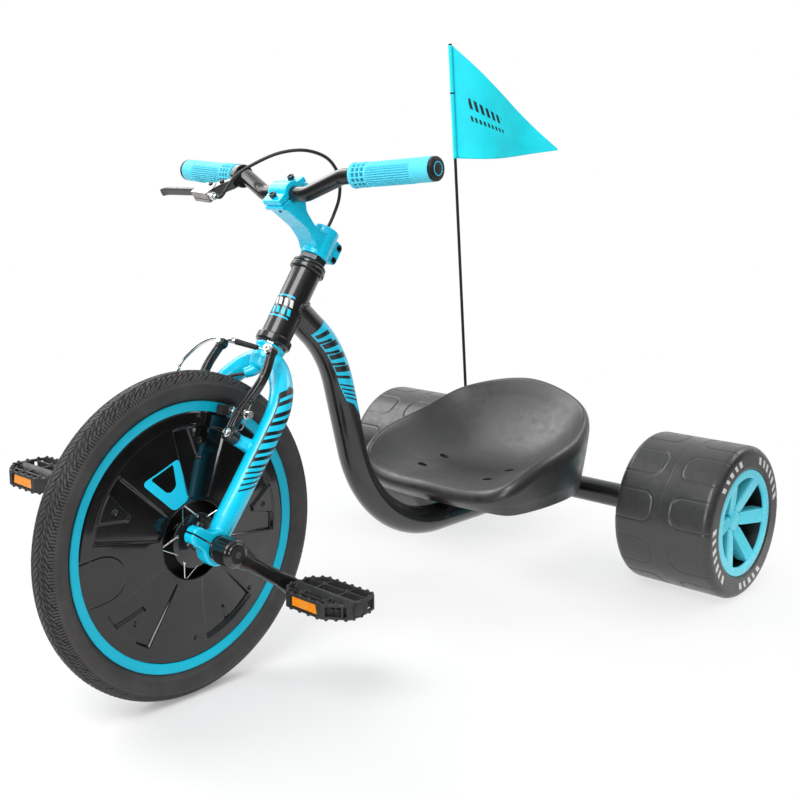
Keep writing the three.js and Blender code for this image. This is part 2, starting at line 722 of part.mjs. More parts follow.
function leverBracket() {
  const x0 = -leverClampX - leverClampWidth / 2;
  const x1 = x0 + leverClampWidth;
  const [px, pr, lug] = [leverPivotX, leverPivotReach, leverLugX];
  const ring = rodX(x0, x1, barRadius + fit + leverClampWall, 14);
  const neck = flatExtrusion([[x1, -8], [x0, -8], [x0, -21], [-lug, -26], [-px - 9, 8 - pr],
    [-px - 9, -pr - 7],
    [-px + 5, -barrelReach - 6], [-lug, -barrelReach - 6], [-lug, -barrelReach + 7], [x0 + 2, -34],
      [x1, -22]], -8, 8);
  const slot = flatExtrusion([[-px - 40, 10 - pr], [-px + 11, 10 - pr], [-px + 11, -90], [-px - 40, -90]],
    -4.4, 4.4);
  const bar = rodX(x0 - 5, x1 + 5, bored(barRadius, 14), 14);
  const inlet = rodX(-px, 5 - lug, 3, 8).translate(0, -barrelReach, 0);
  const pin = rodZ(-8, 8, leverPivotRadius, 8).translate(-px, -pr, 0);
  place(leverPlane, 'lever_bracket', cut(joined(ring, neck), bar, slot, inlet).add(solid(pin)),
    looks.glossBlack);
  const start = fit - lug;
  const barrel = turnedX([[start, 0], [start, barrelRadius], [start + 5, barrelRadius + 1.4],
    [start + 9, barrelRadius + 1.4], [start + 10, barrelRadius - 0.6],
      [start + barrelLength, barrelRadius - 0.6],
    [start + barrelLength, 0]], 10);
  place(leverPlane, 'barrel_adjuster', barrel.translate(0, -barrelReach, 0), looks.steel);
}

function brakeLever() {
  const half = leverBladeThickness / 2;
  const [px, pr] = [leverPivotX, leverPivotReach];
  const middle = [[-px, -pr], [-px - 16, -pr - 7], [-px - 42, -pr - 13], [-px - 72, -pr - 12],
    [8 - leverTipX, -pr - 11],
    [-leverTipX, -pr - 18]];
  const near = middle.map(([x, y]) => [x, y + half]);
  const far = middle.map(([x, y]) => [x, y - half]).reverse();
  const blade = flatExtrusion([...near, ...far], -leverBladeWidth / 2, leverBladeWidth / 2);
  const thin = 4.1;
  const root = flatExtrusion([[-px + 7, 6 - pr], [-px - 16, 1 - pr], [-px - 18, -pr - 9],
    [-px + 7, -pr - 7]], -thin, thin);
  const cheeks = [-20, thin].map((low) =>
    flatExtrusion([[-px - 12, 20 - pr], [0, 20 - pr], [0, -90], [-px - 12, -90]], low, low + 20 - thin));
  const hole = rodZ(-20, 20, bored(leverPivotRadius, 8), 8).translate(-px, -pr, 0);
  place(leverPlane, 'brake_lever', cut(cut(solid(blade), ...cheeks).add(solid(root)), hole), looks.darkSteel);
}

// Rim brake arms, in the steering frame.
function brakeArm(side) {
  const inward = brakeArmLine.map(([x, z], i) => [side * (x - brakeArmHalfWidths[i]), z]);
  const outward = brakeArmLine.map(([x, z], i) => [side * (x + brakeArmHalfWidths[i]), z]).reverse();
  const blade = flatExtrusion([...inward, ...outward], 0, brakeArmDepth)
    .rotateX(Math.PI / 2).translate(0, -brakeArmForward, 0);
  const eye = rodZ(0, brakeArmDepth + 3, 10, 14).rotateX(Math.PI / 2);
  eye.translate(side * brakePivotX, -brakeArmForward + 3, brakePivotAlong);
  const pin = rodZ(-20, 80, bored(brakePivotPin, 6), 6).rotateX(Math.PI / 2);
  pin.translate(side * brakePivotX, 0, brakePivotAlong);
  const pad = padPlace();
  const stud = rodX(0, 100, brakePadStudRadius + fit, 8).translate(0, pad.y, pad.z);
  return cut(joined(blade, eye), pin, side > 0 ? stud : stud.rotateZ(Math.PI).translate(0, 2 * pad.y, 0));
}

// The pad sits on the middle of the brake track, forward of the fork and square to the rim's radius there.
function padPlace() {
  const radius = (rimFlangeRadius + rimInnerRadius) / 2;
  const forward = brakeArmForward + brakeArmDepth / 2;
  return { y: -forward, z: Math.sqrt(radius * radius - forward * forward),
    tilt: Math.asin(forward / radius) };
}

function brakePad(side) {
  const pad = padPlace();
  const inner = rimHalfWidth + brakePadGap;
  const shoe = block(inner, inner + brakePadThickness, -brakePadLength / 2, brakePadLength / 2,
    -brakePadHeight / 2, brakePadHeight / 2);
  shoe.rotateX(pad.tilt);
  const stud = turnedX([[inner + 5, 0], [inner + 5, brakePadStudRadius], [64, brakePadStudRadius], [64, 5.5],
    [brakePadStudReach + 3, 5.5], [brakePadStudReach + 3, 0]], 8);
  const whole = joined(shoe, stud).translate([0, pad.y, pad.z]);
  return side > 0 ? whole : whole.mirror([1, 0, 0]);
}

// The noodle, as x, forward and along the steering axis.
const noodleLine = [[-127, 34, 217], [-124, 35, 230], [-112, 37, 247], [-97, 39, 261], [-80, 40, 270],
  [-58, 41, 273.5],
  [-24, 41, 271.5]];

function steeringCurve(line) {
  const points = line.map(([x, forward, along]) => V(x, -forward, along));
  return new THREE.CatmullRomCurve3(points, false, 'centripetal');
}

function brakes() {
  place(steering, 'brake_arm_left', brakeArm(1), looks.glossBlack);
  place(steering, 'brake_arm_right', brakeArm(-1), looks.glossBlack);
  place(steering, 'brake_pad_left', brakePad(1), looks.rubber);
  place(steering, 'brake_pad_right', brakePad(-1), looks.rubber);
  const path = steeringCurve(noodleLine);
  place(steering, 'cable_noodle', tube(path, noodleRadius, 8, 13), looks.steel);
}

// The brake cable runs over the bar, down through the hollow steerer, and from under the crown to the noodle.
const cableOverBar = [[-84, 181, 694], [-62, 205, 714], [-38, 230, 727], [-13, 256, 729], [5, 280, 717],
  [11, 295, 693],
  [9, 298, 662]];
const cableDownSteerer = [508, 470, 420, 370, 310, 262];
const cableToNoodle = [[-4, 6, 243], [-18, 15, 234.5], [-32, 21, 225], [-50, 24, 214], [-70, 26, 205],
  [-98, 29, 195],
  [-118, 33, 191], [-127, 34, 197], [-128, 34, 207], [-127.2, 34, 216.5]];

function brakeCable() {
  const barrelEnd = 2 * fit - leverLugX + barrelLength;
  const start = [0, 9].map((ahead) => V(barrelEnd + ahead, -barrelReach, 0).applyMatrix4(leverPlane.matrix));
  const over = cableOverBar.map(([x, y, z]) => V(x, y, z).applyMatrix4(toSteering));
  const down = cableDownSteerer.map((along) => V(0, 0, along));
  const out = cableToNoodle.map(([x, forward, along]) => V(x, -forward, along));
  const path = new THREE.CatmullRomCurve3([...start, ...over, ...down, ...out], false, 'centripetal');
  place(steering, 'brake_cable', tube(path, cableRadius, 8, 46), looks.rubber);
}

// Front wheel, about the front axle.
function frontTyre() {
  const half = tyreWidth / 2;
  const beadHalf = rimHalfWidth - 3;
  const beadRadius = rimFlangeRadius - 6;
  const side = rimFlangeRadius + 1.5;
  const right = [[beadHalf, beadRadius], [beadHalf, side], [half - 1.5, side + 9], [half - 0.5, side + 22],
    [half - 9, tyreRadius - 5], [0, tyreRadius]];
  const w = tyreWall;
  const inner = [[half - 2 * w, tyreRadius - 3 * w], [beadHalf - w, beadRadius]];
  const mirror = (list) => list.map(([x, r]) => [-x, r]).reverse();
  return turnedX([...right, ...mirror(right).slice(1), ...mirror(inner), ...inner, right[0]], 32);
}

function frontRim() {
  const wall = 2.6;
  const bed = rimFlangeRadius - 11;
  const half = [[rimHalfWidth, rimFlangeRadius], [rimInnerHalfWidth, rimInnerRadius],
    [rimBedHalfWidth, rimInnerRadius]];
  const inside = [[rimHalfWidth - wall, bed + 3], [rimHalfWidth - wall, rimFlangeRadius]];
  const mirror = (list) => list.map(([x, r]) => [-x, r]).reverse();
  return turnedX([...half, [0, rimBedRadius], ...mirror(half), ...mirror(inside), ...inside, half[0]], 32);
}

function frontHub() {
  const f0 = hubFlangeOffset;
  const f1 = hubFlangeOffset + hubFlangeThickness;
  const end = dropoutInner - 2;
  const bore = bored(axleRadius, 16);
  const half = [[f0, hubBodyRadius], [f0, hubFlangeRadius], [f1, hubFlangeRadius], [f1 + 3, hubCollarRadius],
    [end, hubCollarRadius], [end, bore]];
  const mirror = half.map(([x, r]) => [-x, r]).reverse();
  let body = solid(turnedX([...mirror, ...half, mirror[0]], 16));
  const reach = rimBedRadius - fit - 0.4;
  for (let i = 0; i < spokeCount; i++) {
    const side = i % 2 ? 1 : -1;
    const lean = (Math.floor(i / 2) % 2 ? 1 : -1) * 40 * deg;
    const a = (2 * Math.PI * i) / spokeCount;
    const from = V(side * (f0 + hubFlangeThickness / 2), spokeCircleRadius * Math.cos(a - lean),
      spokeCircleRadius * Math.sin(a - lean));
    const to = V(side * 2.5, reach * Math.cos(a), reach * Math.sin(a));
    body = body.add(solid(tube(new THREE.LineCurve3(from, to), spokeRadius, 3, 1)));
  }
  return body;
}

const coverRadius = rimInnerRadius - fit;

function coverSlope(radius) {
  const share = (radius - coverOpeningRadius) / (coverRadius - coverOpeningRadius);
  return coverInnerEdge + (coverOuterEdge - coverInnerEdge) * share;
}

// The cutting tool of one valley between two petals, which leaves a three-sided boss standing in it.
function coverValley(angle) {
  const inner = coverValleyInner;
  const outer = coverValleyOuter;
  const spread = Math.tan(coverValleyHalfAngle * deg);
  const right = [[inner, inner * spread], [outer, outer * spread], [outer, coverBossHalfWidth],
    [coverBossApex, 4]];
  const shape = outline([...right, ...right.map(([r, w]) => [r, -w]).reverse()]);
  const tool = new THREE.ExtrudeGeometry(shape, { depth: 30, bevelEnabled: false });
  const drop = coverSlope(inner) - coverSlope(outer) + coverValleyDepth;
  const slope = Math.atan2(drop, outer - inner);
  tool.translate(-inner, 0, 0).rotateY(slope).translate(inner, 0, coverSlope(inner) + coverThickness);
  tool.applyMatrix4(new THREE.Matrix4().makeBasis(V(0, 1, 0), V(0, 0, 1), V(1, 0, 0)));
  return tool.rotateX(angle * deg);
}

function wheelCover() {
  const outer = coverRadius;
  const x = coverSlope;
  const t = coverThickness;
  const opening = coverOpeningRadius;
  const deep = coverValleyOuter - 1;
  const ring = turnedX([[x(opening), opening], [x(opening) + t, opening], [x(outer) + t, outer],
    [x(outer), outer],
    [x(deep + 4), deep + 4], [x(deep) - coverValleyDepth, deep], [x(opening), opening]], 32);
  const angles = Array.from({ length: coverPanelCount },
    (_, k) => coverValleyFirst + (360 / coverPanelCount) * k);
  const holes = angles.map((angle) =>
    rodX(0, 40, coverScrewHole, 6).translate(0, coverScrewRadius, 0).rotateX(angle * deg));
  return cut(solid(ring), ...angles.map(coverValley), ...holes);
}

function frontAxle() {
  const shaft = rodX(-axleRoundHalf, axleRoundHalf, axleRadius, 16);
  const half = axleSquare / 2;
  const ends = [[-axleTaperEnd, 3 - axleRoundHalf], [axleRoundHalf - 3, axleTaperEnd]].map(([x0, x1]) =>
    block(x0, x1, -half, half, -half, half).rotateX(crankAngle * deg));
  return joined(shaft, ...ends);
}

// A crank, its arm along +Y, on the left side.
function crank(side) {
  const x0 = axleRoundHalf + 1;
  const boss = turnedX([[x0, 0], [x0, crankBossRadius], [crankOuterFace - 3, crankBossRadius],
    [crankOuterFace, crankBossRadius - 4], [crankOuterFace + 1.2, 0]], 16);
  const armInner = crankOuterFace - crankArmThickness - 3;
  const edge = [[0, -17], [14, -16], [34, -11.5], [crankLength - 22, -10.5],
    ...arcPoints(crankLength, 0, 12.5, -75, 75, 6),
    [crankLength - 22, 10.5], [34, 11.5], [14, 16], [0, 17]];
  const arm = sideExtrusion(edge, crankArmThickness, 2.5).translate(armInner + crankArmThickness / 2, 0, 0);
  const s = axleSquare + 2 * fit;
  const socket = block(x0 - 5, axleTaperEnd + fit, -s / 2, s / 2, -s / 2, s / 2);
  const eye = rodX(armInner - 5, crankOuterFace + 5, bored(pedalShaftRadius + 2.5, 10), 10).translate(0,
    crankLength, 0);
  const body = cut(joined(boss, arm), socket, eye);
  return side > 0 ? body : body.mirror([1, 0, 0]);
}

function pedalSpindle(side) {
  const inner = crankOuterFace - crankArmThickness - 3;
  const face = crankOuterFace - 3 + fit;
  const end = face + pedalFlangeLength + pedalLength - 8;
  const spindle = turnedX([[inner, 0], [inner, pedalShaftRadius + 2.5], [face, pedalShaftRadius + 2.5],
    [face, pedalFlangeRadius],
    [face + pedalFlangeLength, pedalFlangeRadius], [face + pedalFlangeLength, pedalShaftRadius + 1],
    [end, pedalShaftRadius], [end, 0]], 10);
  return side > 0 ? spindle : spindle.rotateY(Math.PI);
}

// Pedal: an open cage round a central barrel, its length along X.
function pedalBody() {
  const l = pedalLength / 2;
  const d = pedalDepth / 2;
  const h = pedalHeight / 2;
  const cage = new THREE.ExtrudeGeometry(outline([[-l, -d * 0.6], [-l + 12, -d], [l - 14, -d], [l, -d * 0.6],
    [l, d * 0.6],
    [l - 14, d], [-l + 12, d], [-l, d * 0.6]]), { depth: pedalHeight, bevelEnabled: false }).translate(0, 0,
      -h);
  const barrel = rodX(-l, l - 4, pedalBarrelRadius, 14);
  const windows = [-1, 1].flatMap((s) => [-1, 1].map((e) => {
    const a = pedalBarrelRadius + 2;
    const b = d - 8;
    const shape = e < 0 ? [[-l + 8, a], [-4, a], [-4, b], [-l + 18, b], [-l + 8, b * 0.8]]
      : [[4, a], [l - 9, a], [l - 9, b * 0.75], [l - 17, b], [4, b]];
    return new THREE.ExtrudeGeometry(outline(shape.map(([x, y]) => [x, s * y])),
      { depth: 2 * pedalHeight, bevelEnabled: false })
      .translate(0, 0, -pedalHeight);
  }));
  const recess = [-1, 1].map((s) => block(-l + 24, l - 34, s > 0 ? d - 2.5 : -d - 5, s > 0 ? d + 5 : 2.5 - d,
    -6.5, 6.5));
  const bore = turnedX([[-l - 5, 0], [-l - 5, bored(pedalShaftRadius + 1, 10)],
    [l - 7, bored(pedalShaftRadius + 1, 10)], [l - 7, 0]], 10);
  return cut(joined(cage, barrel), ...windows, ...recess, bore);
}

function cranksAndPedals() {
  for (const [name, side, turn] of [['left', 1, 0], ['right', -1, 180]]) {
    const arm = new THREE.Group();
    arm.rotation.x = (crankAngle + turn) * deg;
    frontWheel.add(arm);
    place(arm, `crank_${name}`, crank(side), looks.glossBlack);
    const eye = V(0, crankLength, 0).applyAxisAngle(V(1, 0, 0), arm.rotation.x);
    const spindle = new THREE.Group();
    spindle.position.copy(eye);
    frontWheel.add(spindle);
    place(spindle, `pedal_spindle_${name}`, pedalSpindle(side), looks.darkSteel);
    const inner = crankOuterFace - 3 + pedalFlangeLength + 2 * fit;
    const body = surface(pedalBody()).translate(inner + pedalLength / 2, 0, 0);
    const sided = side > 0 ? body : body.applyMatrix4(new THREE.Matrix4().makeScale(-1, 1, 1));
    place(spindle, `pedal_${name}`, sided, looks.mattBlack);
  }
}

function frontWheelPieces() {
  place(frontWheel, 'front_tyre', frontTyre(), looks.rubber);
  place(frontWheel, 'front_rim', frontRim(), looks.cyanPaint);
  place(frontWheel, 'front_hub', frontHub(), looks.glossBlack);
  const cover = wheelCover();
  place(frontWheel, 'wheel_cover_left', cover, looks.glossBlack);
  place(frontWheel, 'wheel_cover_right', cover.mirror([1, 0, 0]), looks.glossBlack);
  place(frontWheel, 'front_axle', frontAxle(), looks.darkSteel);
}

// Rear wheels: a hollow hard sleeve on a spoked hub that turns on the fixed axle.
// The sleeve is turned by half a facet, so that it rests on a flat one at its true radius.
function rearTyre() {
  const half = rearWidth / 2;
  const s = rearShoulder;
  const radius = rearRadius / Math.cos(Math.PI / 32);
  const edge = arcPoints(half - s, radius - s, s, 90, 0, 2);
  const left = edge.map(([x, r]) => [-x, r]).reverse();
  const lip = bored(rearHubRadius, 32);
  return turnedX([[-half, lip], ...left, ...edge, [half, lip], [-half, lip]], 32).rotateX(Math.PI / 32);
}

// A spoke of the dished hub, along +Y at the +X face: its face runs down from the flange towards the boss.
function rearHubSpoke(angle) {
  const face = rearWidth / 2 - rearHubFlangeSet;
  const inner = rearHubTubeRadius - 2;
  const clear = rearHubTubeRadius + 1.5;
  const outer = rearHubRadius - rearHubFlangeWidth + 4;
  const flangeBack = face - rearHubFlangeDepth;
  const bossTop = rearWidth / 2 - rearHubRecess;
  const spoke = sideExtrusion([[clear, face - rearHubDish], [outer, face - 0.8], [outer, flangeBack - 4],
    [inner, face - rearHubDish - rearHubSpokeDepth], [inner, bossTop - 4], [clear, bossTop - 4]],
      rearHubSpokeWidth);
  return spoke.rotateY(Math.PI / 2).rotateX(angle);
}

function rearHub() {
  const half = rearWidth / 2;
  const boss = rodX(rearHubRecess - half, half - rearHubRecess, rearHubTubeRadius, 12);
  const angles = Array.from({ length: rearHubSpokes }, (_, k) =>
    (rearHubFirstSpoke + (360 * k) / rearHubSpokes) * deg);
  const face = half - rearHubFlangeSet;
  const flange = ringX(face - rearHubFlangeDepth, face, rearHubRadius - rearHubFlangeWidth, rearHubRadius, 24);
  const outward = [flange, ...angles.map(rearHubSpoke)];
  const inward = outward.map((piece) => piece.clone().scale(-1, 1, 1));
  const seatRadius = bored(rearBearingRadius, 12);
  const bore = turnedX([[-half - 5, 0], [-half - 5, seatRadius], [half + 5, seatRadius], [half + 5, 0]], 12);
  return cut(joined(boss, ...outward, ...inward), bore);
}

function rearBearings() {
  const x0 = rearHubRecess - rearWidth / 2;
  const x1 = rearWidth / 2 - rearHubRecess - hubCapDepth - axleNutHeight - 1;
  const r = bored(rearAxleRadius, 12);
  const w = rearBearingWidth;
  return turnedX([[x0, r], [x0, rearBearingRadius], [x0 + w, rearBearingRadius], [x0 + w, r + 2.5],
    [x1 - w, r + 2.5],
    [x1 - w, rearBearingRadius], [x1, rearBearingRadius], [x1, r], [x0, r]], 12);
}

function hubCap() {
  const face = rearWidth / 2 - rearHubRecess + fit;
  const skirt = rearBearingRadius;
  return turnedX([[face - hubCapDepth, skirt - 2], [face - hubCapDepth, skirt], [face, skirt],
    [face, rearHubTubeRadius],
    [face + 2, rearHubTubeRadius], [face + 6, 0], [face + 2, 0], [face - hubCapDepth, skirt - 2]], 12);
}

function rearAxle() {
  const end = rearTrackToWheelCentre + rearWidth / 2 - rearHubRecess - hubCapDepth - 0.5;
  const head = rodX(end - axleNutHeight + fit, end, hexAcross(axleNutAcrossFlats), 6);
  const rod = rodX(-end, end, rearAxleRadius, 12);
  return joined(rod, head);
}

function rearWheels() {
  place(trike, 'rear_axle', surface(rearAxle()).translate(0, wheelbase, rearRadius), looks.steel);
  const end = rearTrackToWheelCentre + rearWidth / 2 - rearHubRecess - hubCapDepth - 0.5;
  const nut = rodX(-end + 1, -end + axleNutHeight - fit, hexAcross(axleNutAcrossFlats), 6);
  const nutSolid = cut(solid(nut), rodX(-end - 5, -end + 20, bored(rearAxleRadius, 12), 12));
  place(trike, 'axle_nut', surface(nutSolid).translate(0, wheelbase, rearRadius), looks.steel);
  for (const [name, side] of [['left', 1], ['right', -1]]) {
    const wheel = new THREE.Group();
    wheel.position.set(side * rearTrackToWheelCentre, wheelbase, rearRadius);
    wheel.rotation.z = side > 0 ? 0 : Math.PI;
    trike.add(wheel);
    place(wheel, `rear_tyre_${name}`, rearTyre(), looks.rubber);
    place(wheel, `rear_hub_${name}`, rearHub(), looks.cyanPaint);
    place(wheel, `rear_bearings_${name}`, rearBearings(), looks.steel);
    place(wheel, `rear_hub_cap_${name}`, hubCap(), looks.cyanPaint);
  }
}

// Seat: a moulded bucket, open underneath, from rings swept round its rim.
function seatRimCurve() {
  const right = seatRim.slice(1, -1).map(([x, y, z]) => V(x, y, z));
  const left = right.map((p) => V(-p.x, p.y, p.z)).reverse();
  const front = V(...seatRim[0]);
  const back = V(...seatRim[seatRim.length - 1]);
  return new THREE.CatmullRomCurve3([front, ...right, back, ...left], true, 'centripetal');
}

function seatRings(count) {
  const curve = seatRimCurve();
  const rim = curve.getSpacedPoints(count).slice(0, count);
  const normals = rim.map((p, i) => {
    const along = rim[(i + 1) % count].clone().sub(rim[(i + count - 1) % count]);
    return V(along.y, -along.x, 0).normalize();
  });
  const shifted = (out, height) => rim.map((p, i) => V(p.x + out * normals[i].x, p.y + out * normals[i].y,
    height(p.z)));
  const bowl = (share, drop) => rim.map((p, i) => {
    const edge = V(p.x - 6 * normals[i].x, p.y - 6 * normals[i].y, p.z);
    const rise = Math.pow(share, 2.4);
    return V(edge.x * share, seatPanY + (edge.y - seatPanY) * share,
      seatPanHeight + (edge.z - 2 - seatPanHeight) * rise - drop);
  });
  const outer = [...[0.3, 0.55, 0.76, 0.91].map((share) => bowl(share, 0)),
    shifted(-seatRimRoll, (z) => z - 2), shifted(0, (z) => z),
    shifted(seatRimRoll, (z) => z - 9), shifted(-seatSkirtTaper, () => seatSkirtBottom)];
  const inner = [...[0.3, 0.58, 0.85].map((share) => bowl(share, seatWall)),
    shifted(-seatWall, (z) => z - 4 - seatWall),
    shifted(seatRimRoll - seatWall, (z) => z - 12 - seatWall * 0.6),
    shifted(-seatSkirtTaper - seatWall - 1, () => seatSkirtBottom - 1)];
  return { outer, inner };
}

// Closes a list of rings into a skin, with a middle point at each end.
function ringSkin(rings) {
  const n = rings[0].length;
  const middle = (ring) => ring.reduce((sum, p) => sum.add(p), V(0, 0, 0)).divideScalar(n);
  const points = [middle(rings[0]), ...rings.flat(), middle(rings[rings.length - 1])];
  const index = [];
  const at = (r, i) => 1 + r * n + (i % n);
  for (let i = 0; i < n; i++) {
    index.push(0, at(0, i), at(0, i + 1));
    index.push(points.length - 1, at(rings.length - 1, i + 1), at(rings.length - 1, i));
    for (let r = 0; r + 1 < rings.length; r++) {
      index.push(at(r, i), at(r + 1, i), at(r + 1, i + 1), at(r, i), at(r + 1, i + 1), at(r, i + 1));
    }
  }
  const geometry = new THREE.BufferGeometry().setFromPoints(points);
  geometry.setIndex(index);
  return geometry;
}

function seat() {
  const { outer, inner } = seatRings(28);
  const places = [...seatBoltPlaces(), [seatArmX, seatArmY], [-seatArmX, seatArmY]];
  const posts = places.map(([x, y]) => rodZ(seatSkirtBottom - 5, 300, seatBossRadius, 8).translate(x, y, 0));
  const hollow = cut(solid(ringSkin(inner)), ...posts);
  const shell = solid(ringSkin(outer)).subtract(hollow);
  const holes = seatBoltPlaces().map(([x, y]) => rodZ(100, 300, bored(seatBoltRadius, 6), 6).translate(x, y,
    0));
  const slots = seatBoltPlaces().map(([x, y]) => block(x - seatSlotLength / 2, x + seatSlotLength / 2,
    y - seatSlotWidth / 2, y + seatSlotWidth / 2, seatPanHeight - seatSlotDepth, 300));
  return cut(shell, ...holes, ...slots);
}

function seatPieces() {
  place(trike, 'seat', seat(), looks.mattBlack);
  const floor = seatPanHeight - seatSlotDepth + fit;
  for (const [k, [x, y]] of seatBoltPlaces().entries()) {
    const tip = seatPlateTop() - seatPlateThickness - 9;
    const bolt = turnedZ([[tip, 0], [tip, seatBoltRadius], [floor, seatBoltRadius],
      [floor, seatBoltHeadRadius],
      [floor + seatBoltHeadHeight, seatBoltHeadRadius], [floor + seatBoltHeadHeight, 0]], 8);
    place(trike, `seat_bolt_${k + 1}`, bolt.translate(x, y, 0), looks.darkSteel);
  }
}

// Safety flag: a leaning pole in a socket clamped on the axle tube, and a pennant with one deep fold.
function flagFrame() {
  const base = V(poleX, wheelbase + poleBackOffset,
    rearRadius + Math.sqrt(axleTubeRadius ** 2 - poleBackOffset ** 2));
  const turn = new THREE.Matrix4().makeRotationX(poleLean * deg);
  return turn.setPosition(base);
}

function flagBracket() {
  const clear = bored(axleTubeRadius, 14);
  const band = ringX(-poleBandWidth / 2, poleBandWidth / 2, clear, clear + poleBandWall, 14);
  band.translate(poleX, wheelbase, rearRadius);
  const socket = rodZ(-6, poleSocketHeight, poleSocketRadius, 10).applyMatrix4(flagFrame());
  const hole = rodZ(4, poleSocketHeight + 5, bored(poleRadius, 6), 6).applyMatrix4(flagFrame());
  const tubeSpace = rodX(-20, 20, clear, 14).translate(poleX, wheelbase, rearRadius);
  return cut(joined(band, socket), tubeSpace, hole);
}

// The pennant's middle surface: u from hoist to tip, v from the lower edge up.
function flagPoint(u, v) {
  const height = flagHoist * (1 - u);
  const droop = 6 * Math.sin(Math.PI * u);
  const wave = flagFold * Math.sin(2 * Math.PI * u) * (1 - 0.35 * v);
  const point = V(wave, poleRadius + fit + u * flagFly, v * height - droop * (1 - v));
  return point.applyAxisAngle(V(0, 0, 1), -flagHeading * deg);
}

function flagCloth() {
  const columns = 16;
  const rows = 4;
  const rings = [];
  const flagHalfThickness = V(flagThickness / 2, 0, 0).applyAxisAngle(V(0, 0, 1), -flagHeading * deg);
  for (let i = 0; i <= columns; i++) {
    const u = (i / columns) * 0.985;
    const ring = [];
    for (let j = 0; j <= rows; j++) ring.push(flagPoint(u, j / rows).add(flagHalfThickness));
    for (let j = rows; j >= 0; j--) ring.push(flagPoint(u, j / rows).sub(flagHalfThickness));
    rings.push(ring);
  }
  const skin = ringSkin(rings);
  const top = V(0, 0, poleLength - flagHoist - flagBelowTop);
  return skin.translate(0, top.y, top.z).applyMatrix4(flagFrame());
}

function flagPieces() {
  place(trike, 'flag_bracket', flagBracket(), looks.glossBlack);
  place(trike, 'flag_pole', rodZ(4 + fit, poleLength, poleRadius, 8).applyMatrix4(flagFrame()),
    looks.mattBlack);
  place(trike, 'flag', flagCloth(), looks.cloth);
}

place(trike, 'frame', frameWeldment(), looks.glossBlack);
headset();
fork();
axleBearings();
stem();
stemCap();
handlebar();
leverBracket();
brakeLever();
brakes();
brakeCable();
frontWheelPieces();
cranksAndPedals();
rearWheels();
seatPieces();
flagPieces();

export default trike;
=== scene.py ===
"""Drift trike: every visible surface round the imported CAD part.

Lengths are in millimetres until a mesh is built. The frames are those of the CAD source: TRIKE has its origin
on the ground under the front wheel, STEER lies along the head tube with its origin at the front axle, and the
wheels turn about X.
"""

import math

import bmesh
import bpy
import numpy as np
from mathutils import Matrix, Vector


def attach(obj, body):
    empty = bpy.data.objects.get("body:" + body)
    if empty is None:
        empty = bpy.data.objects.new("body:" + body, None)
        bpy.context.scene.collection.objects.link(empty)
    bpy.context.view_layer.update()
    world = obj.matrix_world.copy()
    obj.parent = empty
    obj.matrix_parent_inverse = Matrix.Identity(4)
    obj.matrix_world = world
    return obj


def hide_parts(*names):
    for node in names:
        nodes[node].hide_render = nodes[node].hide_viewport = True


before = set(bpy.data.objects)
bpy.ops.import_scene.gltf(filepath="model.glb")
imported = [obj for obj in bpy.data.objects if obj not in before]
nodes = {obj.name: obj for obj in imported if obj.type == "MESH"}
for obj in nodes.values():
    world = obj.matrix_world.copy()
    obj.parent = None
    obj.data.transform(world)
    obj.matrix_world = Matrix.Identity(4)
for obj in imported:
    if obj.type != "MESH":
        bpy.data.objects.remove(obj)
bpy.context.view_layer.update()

MM = 0.001
TAU = 2 * math.pi
scene = bpy.context.scene


# ---------------------------------------------------------------- frames
def shift(x, y, z):
    return Matrix.Translation((x, y, z))


def turn(axis, degrees):
    return Matrix.Rotation(math.radians(degrees), 4, axis)


def basis(x, y, z, origin):
    m = Matrix.Identity(4)
    for i, v in enumerate((x, y, z)):
        m.col[i][:3] = Vector(v)
    m.col[3][:3] = Vector(origin)
    return m


def facing_front(x, y, z):
    """A place where the form's X axis points to the front."""
    return shift(x, y, z) @ turn("Z", -90)


def unit(v):
    return np.asarray(v, float) / np.linalg.norm(v)


HEAD_ANGLE = 35.5
TYRE_R = 222.5
REAR_R = 125.5
WHEELBASE = 847
HALF_TRACK = 299.5
SLEEVE_HALF = 84.3
TRIKE = shift(0, -375, 0)
WHEEL = TRIKE @ shift(0, 0, TYRE_R)
STEER = WHEEL @ turn("X", -HEAD_ANGLE)
AXLE = TRIKE @ shift(0, WHEELBASE, REAR_R)
REAR = {1: TRIKE @ shift(HALF_TRACK, WHEELBASE, REAR_R),
        -1: TRIKE @ shift(-HALF_TRACK, WHEELBASE, REAR_R) @ turn("Z", 180)}

# The handlebar: X of its ends and of both ends of its rises; [Y, Z] of its tops and of its clamp;
# how far [Y, Z] change from a top to the bar's end.
BAR_R = 11.1
BAR_HALF, BAR_RISE_START, BAR_RISE_END = 252, 42, 97
BAR_TOP = (214, 693)
BAR_CENTRE = (201, 669.5)
BAR_SWEEP = (14, 10)


def bar_end(side):
    """The frame at a bar's end: X outward along the grip."""
    along = unit([side * (BAR_HALF - BAR_RISE_END), *BAR_SWEEP])
    across = unit(np.cross([0, 0, 1], along))
    tip = [side * BAR_HALF, BAR_TOP[0] + BAR_SWEEP[0], BAR_TOP[1] + BAR_SWEEP[1]]
    return TRIKE @ basis(along, across, np.cross(along, across), tip)


LEVER_TILT = 31


def lever_plane():
    """The brake lever's frame on the right grip: X inward along the bar, Y to the rider, Z off its plane."""
    outward = unit([-(BAR_HALF - BAR_RISE_END), *BAR_SWEEP])
    base = np.array([-BAR_RISE_END, *BAR_TOP]) - BAR_RISE_END * outward
    a = math.radians(LEVER_TILT)
    up = np.array([0, -math.sin(a), math.cos(a)])
    back = unit(np.cross(up, -outward))
    return TRIKE @ basis(-outward, back, np.cross(-outward, back), base)


